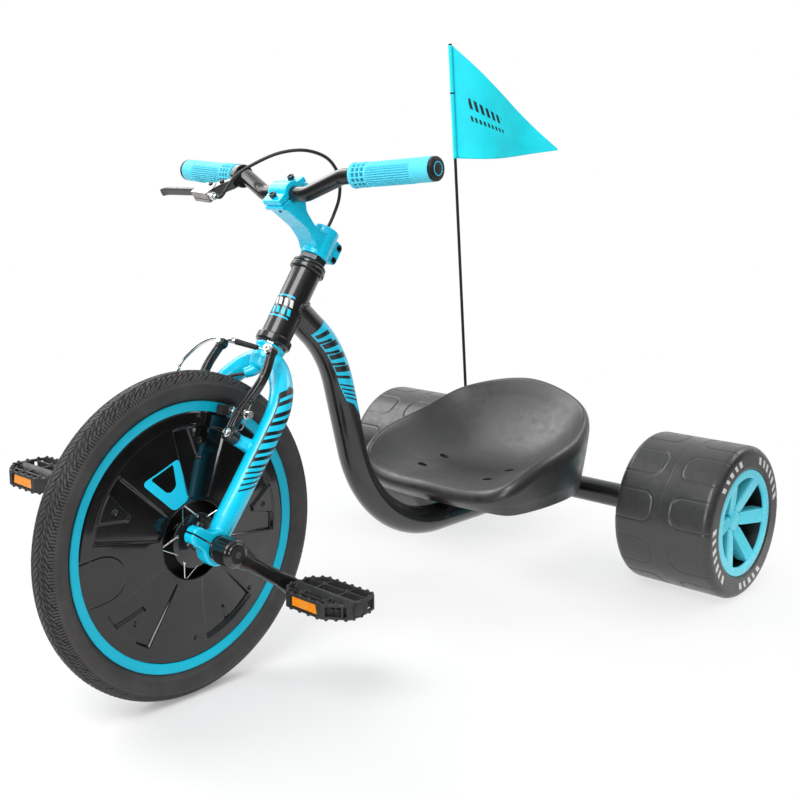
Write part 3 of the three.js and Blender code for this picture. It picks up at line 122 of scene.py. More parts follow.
LEVER = lever_plane()
POLE_X = -190
POLE_LENGTH = 780
POLE_R = 2.8
POLE_BEHIND = 8
POLE_LEAN = 4.6
AXLE_TUBE_R = 21
POLE_FOOT = REAR_R + math.sqrt(AXLE_TUBE_R ** 2 - POLE_BEHIND ** 2)
FLAG = TRIKE @ shift(POLE_X, WHEELBASE + POLE_BEHIND, POLE_FOOT) @ turn("X", POLE_LEAN)


# ---------------------------------------------------------------- forms
class Form:
    """Vertices in millimetres, faces, and a (u, v) for each face corner, v in metres along the form."""

    def __init__(self, verts, faces, uvs=None):
        self.verts = np.asarray(verts, float).reshape(-1, 3)
        self.faces = [list(f) for f in faces]
        self.uvs = uvs if uvs is not None else [[(0.0, 0.0)] * len(f) for f in self.faces]

    def at(self, matrix):
        m = np.array(matrix)
        faces = self.faces if np.linalg.det(m[:3, :3]) > 0 else [f[::-1] for f in self.faces]
        uvs = self.uvs if np.linalg.det(m[:3, :3]) > 0 else [u[::-1] for u in self.uvs]
        return Form(self.verts @ m[:3, :3].T + m[:3, 3], faces, uvs)

    def __add__(self, other):
        n = len(self.verts)
        return Form(np.vstack([self.verts, other.verts]),
                    self.faces + [[i + n for i in f] for f in other.faces], self.uvs + other.uvs)


def total(forms):
    forms = list(forms)
    out = forms[0]
    for form in forms[1:]:
        out = out + form
    return out


STILL = Matrix.Identity(4)
MIRROR_X = Matrix.Diagonal((-1, 1, 1, 1))
SIDES = (("left", 1), ("right", -1))


def mirrored(form, side):
    """The left form as it is, or its mirror image for the right side."""
    return form if side > 0 else form.at(MIRROR_X)


def grid(points, wrap_rows=False, wrap_cols=False, caps=False):
    points = np.asarray(points, float)
    rows, cols = points.shape[:2]
    a, b = np.meshgrid(np.arange(rows if wrap_rows else rows - 1), np.arange(cols if wrap_cols else cols - 1),
                       indexing="ij")
    a1, b1 = (a + 1) % rows, (b + 1) % cols
    quads = np.stack([a * cols + b, a * cols + b1, a1 * cols + b1, a1 * cols + b], -1).reshape(-1, 4)
    step = np.linalg.norm(np.roll(points, -1, axis=0) - points, axis=2).mean(1) * MM
    along = np.concatenate([[0], np.cumsum(step)])
    u0, u1, v0, v1 = b / cols, (b + 1) / cols, along[a], along[a + 1]
    uvs = np.stack([np.stack(p, -1) for p in ((u0, v0), (u1, v0), (u1, v1), (u0, v1))], -2).reshape(-1, 4, 2)
    faces, uvs = quads.tolist(), uvs.tolist()
    if caps:
        faces += [list(range(cols))[::-1], list(range((rows - 1) * cols, rows * cols))]
        uvs += [[(0.0, 0.0)] * cols, [(0.0, float(along[rows - 1]))] * cols]
    return Form(points.reshape(-1, 3), faces, uvs)


def rounded(points, radius, steps, closed=False):
    """The polyline with its corners turned into arcs; radius is one number, or one for each point."""
    pts = [np.asarray(p, float) for p in points]
    n = len(pts)
    radii = list(radius) if hasattr(radius, "__len__") else [radius] * n
    out = []
    for i, p in enumerate(pts):
        if radii[i] <= 0 or (not closed and i in (0, n - 1)):
            out.append(p)
            continue
        a, b = pts[i - 1] - p, pts[(i + 1) % n] - p
        la, lb = np.linalg.norm(a), np.linalg.norm(b)
        u, v = a / la, b / lb
        half = math.acos(float(np.clip(u @ v, -1, 1))) / 2
        if half > 1.55 or half < 0.02:
            out.append(p)
            continue
        reach = min(radii[i] / math.tan(half), 0.49 * la, 0.49 * lb)
        r = reach * math.tan(half)
        centre = p + unit(u + v) * (r / math.sin(half))
        s, e = p + u * reach - centre, p + v * reach - centre
        sweep = math.pi - 2 * half
        for k in range(steps + 1):
            t = k / steps
            out.append(centre + (math.sin((1 - t) * sweep) * s + math.sin(t * sweep) * e) / math.sin(sweep))
    return np.array(out)


def spline(points, per, closed=False):
    """A centripetal Catmull-Rom curve through the points."""
    p = [np.asarray(q, float) for q in points]
    n = len(p)
    out = []
    for i in range(n if closed else n - 1):
        p1, p2 = p[i], p[(i + 1) % n]
        p0 = p[i - 1] if closed or i > 0 else 2 * p1 - p2
        p3 = p[(i + 2) % n] if closed or i + 2 < n else 2 * p2 - p1
        d0, d1, d2 = (max(np.linalg.norm(b - a), 1e-6) ** 0.5 for a, b in ((p0, p1), (p1, p2), (p2, p3)))
        m1 = ((p1 - p0) / d0 - (p2 - p0) / (d0 + d1) + (p2 - p1) / d1) * d1
        m2 = ((p2 - p1) / d1 - (p3 - p1) / (d1 + d2) + (p3 - p2) / d2) * d1
        for k in range(per):
            t = k / per
            out.append((2 * t ** 3 - 3 * t ** 2 + 1) * p1 + (t ** 3 - 2 * t ** 2 + t) * m1
                       + (3 * t ** 2 - 2 * t ** 3) * p2 + (t ** 3 - t ** 2) * m2)
    if not closed:
        out.append(p[-1])
    return np.array(out)


def even(path, count):
    """The path sampled at equal distances."""
    path = np.asarray(path, float)
    at = np.concatenate([[0], np.cumsum(np.linalg.norm(np.diff(path, axis=0), axis=1))])
    want = np.linspace(0, at[-1], count)
    return np.stack([np.interp(want, at, path[:, k]) for k in range(path.shape[1])], -1)


def circle(n):
    return np.arange(n) * TAU / n


def polar(x, r, angle):
    """Points about X."""
    return np.stack(np.broadcast_arrays(x, r * np.cos(angle), r * np.sin(angle)), -1)


def lathe(profile, n, closed=False, flats=None):
    """Turned about X from [x, radius] points. flats = (first row, last row, sides) for polygonal rows."""
    prof = np.asarray(profile, float)
    ang = circle(n)
    r = np.repeat(prof[:, 1:2], n, 1)
    if flats:
        first, last, sides = flats
        wedge = TAU / sides
        k = math.cos(wedge / 2) / np.cos((ang % wedge) - wedge / 2)
        r[first:last + 1] *= k / math.cos(wedge / 2)
    return grid(polar(prof[:, 0:1], r, ang), wrap_rows=closed, wrap_cols=True)


def lathe_z(profile, n, closed=False, flats=None):
    """The same about Z, from [z, radius] points."""
    return lathe(profile, n, closed, flats).at(turn("Y", -90))


def frames_along(path, first, closed):
    """Two directions across the path at each of its points; first is the first one's at the start."""
    if closed:
        tangent = np.roll(path, -1, 0) - np.roll(path, 1, 0)
    else:
        tangent = np.gradient(path, axis=0)
    tangent /= np.linalg.norm(tangent, axis=1)[:, None]
    start = np.asarray(first, float) if first is not None else np.eye(3)[np.argmin(np.abs(tangent[0]))]
    normals = []
    for t in tangent:
        start = unit(start - t * (start @ t))
        normals.append(start)
    normals = np.array(normals)
    return normals, np.cross(tangent, normals)


def sweep(path, radius, sides=24, first=None, section=None, closed=False):
    """A tube along the path. section gives (a, b) points across it instead of a circle of that radius."""
    path = np.asarray(path, float)
    normal, other = frames_along(path, first, closed)
    if section is None:
        ang = circle(sides)
        radius = np.broadcast_to(np.asarray(radius, float), (len(path),))
        a, b = radius[:, None] * np.cos(ang), radius[:, None] * np.sin(ang)
    else:
        section = np.asarray(section, float)
        if section.ndim == 2:
            section = np.broadcast_to(section, (len(path), *section.shape))
        a, b = section[..., 0], section[..., 1]
    points = path[:, None] + a[..., None] * normal[:, None] + b[..., None] * other[:, None]
    return grid(points, wrap_rows=closed, wrap_cols=True, caps=not closed)


def slab(outline, low, high):
    """An outline in X and Y between two heights."""
    pts = np.asarray(outline, float)
    n = len(pts)
    verts = [(x, y, low) for x, y in pts] + [(x, y, high) for x, y in pts]
    faces = [list(range(n))[::-1], list(range(n, 2 * n))]
    faces += [[i, (i + 1) % n, n + (i + 1) % n, n + i] for i in range(n)]
    return Form(verts, faces)


def rect(x0, x1, y0, y1):
    return [(x0, y0), (x1, y0), (x1, y1), (x0, y1)]


def band(x0, x1, r0, r1):
    """The profile of a ring, for lathe."""
    return [(x0, r0), (x0, r1), (x1, r1), (x1, r0)]


def rod(x0, x1, radius):
    """The profile of a plain rod, for lathe."""
    return band(x0, x1, 0, radius)


def block(x0, x1, y0, y1, z0, z1):
    return slab(rect(x0, x1, y0, y1), z0, z1)


SIDE_VIEW = Matrix(((0, 0, 1, 0), (1, 0, 0, 0), (0, 1, 0, 0), (0, 0, 0, 1)))


def side_slab(outline, width):
    """An outline in [Y, Z] points, centred across X."""
    return slab(outline, -width / 2, width / 2).at(SIDE_VIEW)


def smoothstep(low, high, value):
    t = np.clip((value - low) / (high - low), 0, 1)
    return t * t * (3 - 2 * t)


def line_mask(distance, width, soft):
    """1 on a line of that width, 0 off it, with a soft edge."""
    return 1 - smoothstep(width / 2 - soft / 2, width / 2 + soft / 2, np.abs(distance))


def wrapped(value):
    """How far a value lies from the nearest whole number."""
    return value - np.round(value)


# ---------------------------------------------------------------- objects
def build(name, form, where, material, body, sharp=35, replaces=(), clean=True):
    m = np.array(where)
    verts = (form.verts @ m[:3, :3].T + m[:3, 3]) * MM
    mesh = bpy.data.meshes.new(name)
    mesh.from_pydata(verts.tolist(), [], form.faces)
    layer = mesh.uv_layers.new(name="UVMap")
    layer.data.foreach_set("uv", np.array([c for f in form.uvs for c in f], np.float32).ravel())
    bm = bmesh.new()
    bm.from_mesh(mesh)
    if clean:
        bmesh.ops.remove_doubles(bm, verts=bm.verts, dist=2e-6)
    bmesh.ops.recalc_face_normals(bm, faces=bm.faces)
    bm.to_mesh(mesh)
    bm.free()
    mesh.materials.append(material)
    obj = bpy.data.objects.new(name, mesh)
    scene.collection.objects.link(obj)
    shade(obj, sharp)
    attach(obj, body)
    supersede(replaces)
    return obj


def supersede(replaces):
    if replaces:
        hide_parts(*([replaces] if isinstance(replaces, str) else replaces))


def shade(obj, sharp):
    obj.data.polygons.foreach_set("use_smooth", [True] * len(obj.data.polygons))
    if sharp:
        obj.data.set_sharp_from_angle(angle=math.radians(sharp))


def bevelled(obj, width, segments):
    mod = obj.modifiers.new("bevel", "BEVEL")
    mod.width = width * MM
    mod.segments = segments
    mod.limit_method = "ANGLE"
    mod.angle_limit = math.radians(30)
    mod.harden_normals = False
    return obj


def baked(obj, sharp=None):
    """The object's mesh with its modifiers applied."""
    deps = bpy.context.evaluated_depsgraph_get()
    mesh = bpy.data.meshes.new_from_object(obj.evaluated_get(deps))
    obj.modifiers.clear()
    old = obj.data
    obj.data = mesh
    bpy.data.meshes.remove(old)
    shade(obj, sharp)
    return obj


def fused(name, form, where, material, body, voxel, smooth, cuts=(), replaces=()):
    """One body out of overlapping closed forms, with soft inner corners, less each of the cuts."""
    obj = build(name, form, where, material, body, sharp=0, clean=False)
    remeshed(obj, voxel, smooth)
    for cut in cuts:
        cut_out(obj, build(name + "_cut", cut, where, material, body, sharp=0), "MANIFOLD")
    if cuts:
        shade(obj, 40)
    supersede(replaces)


def cut_out(obj, tool, solver, sharp=None):
    """The object less the tool, which goes."""
    mod = obj.modifiers.new("cut", "BOOLEAN")
    mod.operation = "DIFFERENCE"
    mod.solver = solver
    mod.object = tool
    baked(obj, sharp)
    bpy.data.objects.remove(tool)


def remeshed(obj, voxel, smooth):
    mod = obj.modifiers.new("remesh", "REMESH")
    mod.mode = "VOXEL"
    mod.voxel_size = voxel * MM
    mod = obj.modifiers.new("smooth", "SMOOTH")
    mod.factor = 0.5
    mod.iterations = smooth
    baked(obj)


def dressed(node, material):
    """A CAD node that stays, with its material."""
    obj = nodes[node]
    obj.data.materials.clear()
    obj.data.materials.append(material)


# ---------------------------------------------------------------- materials
def linear(r, g, b):
    """An 8-bit sRGB colour as linear light."""
    return tuple(c / 12.92 if c <= 0.04045 else ((c + 0.055) / 1.055) ** 2.4
                 for c in (r / 255, g / 255, b / 255))


class Look:
    """A node material round one Principled shader."""

    def __init__(self, name):
        self.material = bpy.data.materials.new(name)
        self.material.use_nodes = True
        self.tree = self.material.node_tree
        self.tree.nodes.clear()
        self.out = self.node("OutputMaterial")
        self.shader = self.node("BsdfPrincipled")
        self.tree.links.new(self.shader.outputs[0], self.out.inputs["Surface"])
        self.coords = self.node("TexCoord")
        self.height = None

    def node(self, kind, sockets=None, **settings):
        n = self.tree.nodes.new("ShaderNode" + kind)
        for key, value in settings.items():
            setattr(n, key, value)
        for key, value in (sockets or {}).items():
            self.put(n.inputs[key], value)
        return n

    def put(self, socket, value):
        if isinstance(value, bpy.types.NodeSocket):
            self.tree.links.new(value, socket)
        elif hasattr(value, "__len__") and len(value) == 3 and socket.type == "RGBA":
            socket.default_value = (*value, 1)
        else:
            socket.default_value = value

    def set(self, **sockets):
        for key, value in sockets.items():
            self.put(self.shader.inputs[key.replace("_", " ").title().replace("Ior", "IOR")], value)
        return self

    def noise(self, scale, detail, rough=0.5, stretch=None):
        where = self.coords.outputs["Object"]
        if stretch:
            where = self.node("Mapping", {"Vector": where, "Scale": stretch}).outputs[0]
        return self.node("TexNoise", {"Vector": where, "Scale": scale, "Detail": detail,
                                      "Roughness": rough}).outputs["Fac"]

    def cells(self, scale):
        return self.node("TexVoronoi", {"Vector": self.coords.outputs["Object"],
                                        "Scale": scale}).outputs["Distance"]

    def uv(self):
        split = self.node("SeparateXYZ", {"Vector": self.coords.outputs["UV"]})
        return split.outputs["X"], split.outputs["Y"]

    def range(self, value, low, high, to_low=0.0, to_high=1.0):
        return self.node("MapRange", {"Value": value, "From Min": low, "From Max": high, "To Min": to_low,
                                      "To Max": to_high}, interpolation_type="SMOOTHSTEP").outputs["Result"]

    def math(self, operation, *values):
        return self.node("Math", dict(enumerate(values)), operation=operation).outputs[0]

    def mix(self, factor, a, b):
        n = self.node("Mix", data_type="RGBA")
        self.put(n.inputs[0], factor)
        self.put(n.inputs[6], a if isinstance(a, bpy.types.NodeSocket) else (*a, 1))
        self.put(n.inputs[7], b if isinstance(b, bpy.types.NodeSocket) else (*b, 1))
        return n.outputs[2]

    def tones(self, colour, spread, scale):
        """A colour that drifts a little lighter and darker over the surface."""
        low = tuple(c * (1 - spread) for c in colour)
        high = tuple(min(1.0, c * (1 + spread)) for c in colour)
        return self.mix(self.range(self.noise(scale, 3.0), 0.3, 0.7), low, high)

    def bump(self, height, depth):
        """Adds relief: height runs from 0 to 1 and depth is its size in millimetres."""
        n = self.node("Bump", {"Height": height, "Distance": depth * MM, "Strength": 1.0})
        if self.height is not None:
            self.tree.links.new(self.height, n.inputs["Normal"])
        self.height = n.outputs[0]
        self.tree.links.new(self.height, self.shader.inputs["Normal"])
        return self


def coated(name, colour, rough, coat, peel, spread, specular=0.5):
    """Sprayed gloss coat: an orange peel, faint haze and drift of tone."""
    k = Look(name)
    k.set(base_color=k.tones(colour, spread, 9), roughness=k.range(k.noise(55, 4), 0.35, 0.75, *rough),
          coat_weight=coat, coat_roughness=0.05, specular_ior_level=specular)
    k.bump(k.noise(420, 2), peel)
    k.bump(k.noise(26, 2), peel * 1.5)
    return k.material


def moulded(name, colour, rough, grain, cloud, scale, sheen=0.0, specular=0.4):
    """Moulded plastic or rubber: a fine grain over soft flow marks."""
    k = Look(name)
    k.set(base_color=k.tones(colour, cloud, scale), roughness=k.range(k.noise(70, 5, 0.6), 0.3, 0.75, *rough),
          sheen_weight=sheen, sheen_roughness=0.5, specular_ior_level=specular)
    k.bump(k.cells(grain[0]), grain[1])
    k.bump(k.noise(grain[0] * 0.35, 3), grain[1])
    k.bump(k.noise(30, 2), grain[1] * 1.2)
    return k.material


def metal(name, colour, rough):
    k = Look(name)
    k.set(base_color=k.tones(colour, 0.08, 60), metallic=1.0,
          roughness=k.range(k.noise(180, 4), 0.3, 0.75, *rough))
    k.bump(k.noise(240, 3), 0.015)
    return k.material


CYAN = linear(0, 204, 240)

cyan_paint = coated("cyan_paint", CYAN, (0.2, 0.32), 0.45, 0.012, 0.06)
black_paint = coated("black_paint", linear(27, 27, 28), (0.2, 0.3), 0.5, 0.012, 0.15)
rim_paint = coated("cyan_rim", linear(0, 188, 218), (0.34, 0.46), 0.1, 0.01, 0.05, specular=0.25)
cyan_plastic = moulded("cyan_plastic", linear(100, 232, 255), (0.2, 0.3), (700, 0.02), 0.04, 20,
                       specular=0.65)
seat_plastic = moulded("seat_plastic", linear(39, 38, 37), (0.3, 0.44), (620, 0.09), 0.2, 11, specular=0.8)
sleeve_plastic = moulded("sleeve_plastic", linear(53, 53, 53), (0.26, 0.38), (520, 0.04), 0.1, 12,
                         specular=0.65)
black_plastic = moulded("black_plastic", linear(26, 26, 27), (0.35, 0.5), (800, 0.03), 0.15, 30)
pedal_plastic = moulded("pedal_plastic", linear(46, 46, 46), (0.42, 0.58), (900, 0.06), 0.15, 40)
black_rubber = moulded("black_rubber", linear(28, 28, 28), (0.6, 0.75), (1100, 0.04), 0.2, 50, 0.05)


def tyre_look():
    """Tread rubber: matt, its tone drifting at random on the blocks, and darker in the cuts with painted
    shade.
    """
    k = Look("tyre_rubber")
    cut = k.node("Attribute", attribute_name="cut").outputs["Fac"]
    block_tone = k.tones(linear(61, 59, 58), 0.16, 22)
    # Painted shade: the colour darkens to near black in the tread's cuts, as the cut attribute marks them.
    k.set(base_color=k.mix(k.range(cut, 0.1, 0.55), block_tone, linear(16, 15, 15)),
          roughness=k.range(k.noise(70, 5, 0.6), 0.3, 0.75, 0.5, 0.66), specular_ior_level=0.4)
    k.bump(k.cells(760), 0.04)
    k.bump(k.noise(260, 3), 0.06)
    return k.material


tyre_rubber = tyre_look()


def grip_look():
    """Cyan grip rubber, darker with painted shade inside its windows and between its ribs."""
    k = Look("cyan_rubber")
    cut = k.node("Attribute", attribute_name="cut").outputs["Fac"]
    tone = k.tones(linear(86, 218, 242), 0.05, 30)
    # Painted shade: the cyan darkens towards deep blue where the cut attribute marks windows and gaps between
    # ribs.
    k.set(base_color=k.mix(k.range(cut, 0.0, 1.0), tone, linear(18, 140, 172)),
          roughness=k.range(k.noise(70, 5, 0.6), 0.3, 0.75, 0.46, 0.6), sheen_weight=0.1, sheen_roughness=0.5,
          specular_ior_level=0.4)
    k.bump(k.cells(900), 0.03)
    return k.material


cyan_rubber = grip_look()
steel = metal("bright_steel", (0.78, 0.78, 0.77), (0.1, 0.22))
dark_steel = metal("dark_steel", (0.09, 0.09, 0.095), (0.28, 0.42))
lever_alloy = metal("lever_alloy", (0.36, 0.35, 0.34), (0.3, 0.4))
lever_plastic = moulded("lever_satin", linear(72, 69, 68), (0.25, 0.38), (800, 0.02), 0.15, 30, specular=0.6)


def cover_look():
    """Gloss black moulding with faint sink marks and fine wipe scratches."""
    k = Look("cover_plastic")
    k.set(base_color=k.tones(linear(15, 15, 16), 0.25, 30),
          roughness=k.range(k.noise(38, 5), 0.35, 0.75, 0.06, 0.13), coat_weight=0.3, coat_roughness=0.03)
    k.bump(k.noise(34, 2), 0.05)
    k.bump(k.noise(600, 2, stretch=(1, 6, 1)), 0.004)
    return k.material


cover_plastic = cover_look()


def print_look(name, colour):
    """Vinyl print: even ink with a faint dot grain and a soft edge-to-edge haze."""
    k = Look(name)
    k.set(base_color=k.tones(colour, 0.05, 60), roughness=k.range(k.noise(120, 3), 0.3, 0.7, 0.3, 0.42),
          coat_weight=0.2, coat_roughness=0.1)
    k.bump(k.noise(700, 2), 0.006)
    return k.material


cyan_print = print_look("cyan_print", linear(0, 204, 240))
black_print = print_look("black_print", linear(16, 22, 30))
white_print = print_look("white_print", linear(226, 226, 224))


def reflector_look():
    """Amber reflector: a prism lattice under a clear face."""
    k = Look("reflector_amber")
    lattice = k.cells(420)
    k.set(base_color=k.mix(k.range(lattice, 0.1, 0.5), linear(255, 170, 8), linear(240, 138, 0)),
          roughness=k.range(k.noise(90, 2), 0.3, 0.7, 0.12, 0.2), coat_weight=0.8, coat_roughness=0.03)
    k.bump(lattice, 0.12)
    return k.material


amber = reflector_look()


def cloth_look():
    """Nylon pennant: a plain weave in relief and tone, a stitched hem, and two rows of printed dashes."""
    k = Look("flag_cloth")
    u, v = k.uv()
    warp = k.math("SINE", k.math("MULTIPLY", u, TAU * 210))
    weft = k.math("SINE", k.math("MULTIPLY", v, TAU * 1000))
    weave = k.math("MULTIPLY_ADD", k.math("MULTIPLY", warp, weft), 0.5, 0.5)
    colour = linear(0, 236, 255)
    shade_of = lambda share: tuple(min(1, c * share) for c in colour)
    soft = k.mix(k.range(k.noise(24, 3), 0.3, 0.7), shade_of(0.92), shade_of(1.05))
    woven = k.mix(k.math("MULTIPLY", weave, 0.14), soft, shade_of(0.7))

    def inside(value, low, high, blur):
        return k.math("MULTIPLY", k.range(value, low - blur, low + blur),
                      k.range(value, high + blur, high - blur))

    dashes = None
    for low, high, start, end, pitch in ((0.50, 0.60, 0.05, 0.125, 0.0125), (0.38, 0.43, 0.05, 0.13, 0.009)):
        lean = k.math("MULTIPLY_ADD", u, 0.05, v)
        stripe = inside(k.math("FRACT", k.math("DIVIDE", lean, pitch)), 0.2, 0.75, 0.04)
        zone = k.math("MULTIPLY", inside(u, low, high, 0.004), inside(v, start, end, 0.0006))
        row = k.math("MULTIPLY", stripe, zone)
        dashes = row if dashes is None else k.math("MAXIMUM", dashes, row)
    k.set(base_color=k.mix(dashes, woven, linear(18, 30, 38)),
          roughness=k.range(k.noise(150, 3), 0.3, 0.7, 0.6, 0.72), sheen_weight=0.2, sheen_roughness=0.4)
    dash = inside(k.math("FRACT", k.math("MULTIPLY", u, 70)), 0.15, 0.8, 0.1)
    stitch = k.math("MULTIPLY", dash, inside(v, 0.0225, 0.0237, 0.0003))
    k.bump(weave, 0.04)
    k.bump(stitch, 0.3)
    k.bump(k.noise(40, 3), 0.5)
    return k.material


flag_cloth = cloth_look()


# ---------------------------------------------------------------- camera and cable
def add_camera():
    yaw, pitch, roll = (math.radians(a) for a in (45.665, 9.113, -0.761))
    back = Vector((math.sin(yaw) * math.cos(pitch), -math.cos(yaw) * math.cos(pitch), math.sin(pitch)))
    right = Vector((0, 0, 1)).cross(back).normalized()
    up = back.cross(right)
    r2 = math.cos(roll) * right + math.sin(roll) * up
    u2 = -math.sin(roll) * right + math.cos(roll) * up
    data = bpy.data.cameras.new("camera")
    data.sensor_fit = "HORIZONTAL"
    data.sensor_width = 36
    data.lens = 52.41
    data.shift_x = 0.1009
    data.shift_y = -0.0664
    data.clip_end = 100
    cam = bpy.data.objects.new("camera", data)
    cam.matrix_world = basis(r2, u2, back, (1.2033, -1.2883, 0.7155))
    scene.collection.objects.link(cam)
    scene.camera = cam


add_camera()


def steer_point(x, forward, along):
    return STEER @ Vector((x, -forward, along))


def steered(points):
    return [np.array(steer_point(*p)) for p in points]


CABLE_OVER_BAR = [(-84, 181, 694), (-62, 205, 714), (-38, 230, 727), (-13, 256, 729), (5, 280, 717),
                  (11, 295, 693), (9, 298, 662)]
CABLE_R = 2.45
CABLE_DOWN = [508, 470, 420, 370, 310, 262]
CABLE_OUT = [(-4, 6, 243), (-18, 15, 234.5), (-32, 21, 225), (-50, 24, 214), (-70, 26, 205), (-98, 29, 195),
             (-118, 33, 191), (-127, 34, 197), (-128, 34, 207), (-127.2, 34, 216.5)]
NOODLE = [(-127, 34, 217), (-124, 35, 230), (-112, 37, 247), (-97, 39, 261), (-80, 40, 270), (-58, 41, 273.5),
          (-24, 41, 271.5)]


def cable_path():
    start = [LEVER @ Vector((-104.4 + ahead, -55, 0)) for ahead in (0, 9)]
    over = [TRIKE @ Vector(p) for p in CABLE_OVER_BAR]
    down = [steer_point(0, 0, s) for s in CABLE_DOWN]
    out = [steer_point(*p) for p in CABLE_OUT]
    return spline(start + over + down + out, 8)


def brake_cable():
    path = cable_path()
    housing = Look("cable_housing")
    v = housing.uv()[1]
    rib = housing.math("MULTIPLY_ADD", housing.math("SINE", housing.math("MULTIPLY", v, TAU * 700)), 0.5, 0.5)
    housing.set(base_color=housing.tones(linear(30, 30, 31), 0.2, 60),
                roughness=housing.range(housing.noise(90, 3), 0.3, 0.7, 0.3, 0.45))
    housing.bump(rib, 0.02)
    obj = build("brake_cable_housing", sweep(path, CABLE_R, 20), STILL, housing.material, "steering",
                replaces="brake_cable")


brake_cable()


# ---------------------------------------------------------------- front wheel
TREAD_PERIODS = 53
BLOCK_LENGTH = 8.8


def tread_cut(theta, x):
    """How far the tread is cut, from 0 to 1, at an angle round the wheel and a place across it."""
    phase = theta / TAU * TREAD_PERIODS
    ax = np.abs(x)
    half = 0.5 / 3 * np.sign(x)
    lean = phase + half - (ax - 6) * 0.075
    diagonal = line_mask(wrapped(3 * lean) * BLOCK_LENGTH, 2.2, 0.9)
    reach = np.where(np.abs(wrapped(lean)) < 0.2, 22.4, 19.5)
    diagonal = diagonal * smoothstep(6.4, 7.2, ax) * (1 - smoothstep(reach - 1, reach, ax))
    zig = 6.0 + 1.9 * (4 * np.abs(wrapped(1.5 * phase + half)) - 1)
    centre = line_mask(ax - zig, 2.1, 0.9)
    cross = line_mask(wrapped(3 * phase + 0.12 * x) * BLOCK_LENGTH, 1.9, 0.9) * (1 - smoothstep(4.5, 5.5, ax))
    link = line_mask(ax - 13.6 - 1.2 * np.where(wrapped(3 * lean) > 0, 1, -1), 1.8, 0.8)
    link = link * (np.abs(wrapped(1.5 * lean)) > 0.13)
    edge_zone = smoothstep(18.2, 19, ax) * (1 - smoothstep(22.8, 23.6, ax))
    edge = line_mask(wrapped(6 * phase + 0.3 + half) * BLOCK_LENGTH / 2, 1.5, 0.7) * edge_zone
    return np.maximum.reduce([diagonal, centre, cross, link, 0.8 * edge])


def store_painted_shade(obj, depth):
    """Stores how deep each vertex lies, for the material to paint shade there."""
    layer = obj.data.attributes.new("cut", "FLOAT", "POINT")
    layer.data.foreach_set("value", depth.astype(np.float32).ravel())


RIM_R, RIM_BED, RIM_INSIDE = 183.5, 169.6, 13.6


def front_tyre():
    half = [(13.4, 178), (RIM_INSIDE + 0.1, 183.4), (15.6, 186.0), (20.0, 188.6), (23.3, 194),
            (24.45, 201.5), (24.0, 207.5), (20.9, 213.6), (15.6, 218.3), (8, 221.5), (0, 222.5)]
    whole = half + [(-x, r) for x, r in half[-2::-1]]
    fine = spline(whole, 40)
    at = np.concatenate([[0], np.cumsum(np.linalg.norm(np.diff(fine, axis=0), axis=1))])
    shoulder = at[np.argmax(fine[:, 1] > 205.5)]
    want = np.concatenate([np.linspace(0, shoulder, 15, endpoint=False),
                           np.linspace(shoulder, at[-1] - shoulder, 88, endpoint=False),
                           np.linspace(at[-1] - shoulder, at[-1], 16)])
    prof = np.stack([np.interp(want, at, fine[:, k]) for k in range(2)], -1)
    tangent = np.gradient(prof, axis=0)
    tangent /= np.linalg.norm(tangent, axis=1)[:, None]
    ang = circle(TREAD_PERIODS * 36)
    x, r = prof[:, :1], prof[:, 1:]
    cut = tread_cut(ang[None], x) * smoothstep(206.5, 210, r)
    ribs = sum(line_mask(r - line, 1.5, 1.3) for line in (190.5, 194.0, 206.2)) * (np.abs(x) > 8)
    depth = 1.5 * cut - 0.35 * ribs
    px, pr = x - tangent[:, 1:] * depth, r + tangent[:, :1] * depth
    obj = build("tyre_with_tread", grid(polar(px, pr, ang), wrap_rows=True, wrap_cols=True), WHEEL,
                tyre_rubber, "front_wheel", sharp=0, replaces="front_tyre", clean=False)
    # Marks the tread's cuts for painted shade in the rubber's colour.
    store_painted_shade(obj, np.clip(cut, 0, 1))


def front_rim():
    half = [(16.2, RIM_R), (14.2, RIM_BED), (10.5, RIM_BED)]
    inside = [(RIM_INSIDE, 175.5), (RIM_INSIDE, RIM_R)]
    mirror = lambda pts: [(-x, r) for x, r in pts[::-1]]
    outline = half + [(0, 163)] + mirror(half) + mirror(inside) + inside
    build("rim_rounded", lathe(rounded(outline, 0.9, 3, closed=True), 160, closed=True), WHEEL, rim_paint,
          "front_wheel", replaces="front_rim")


SPOKES = 20


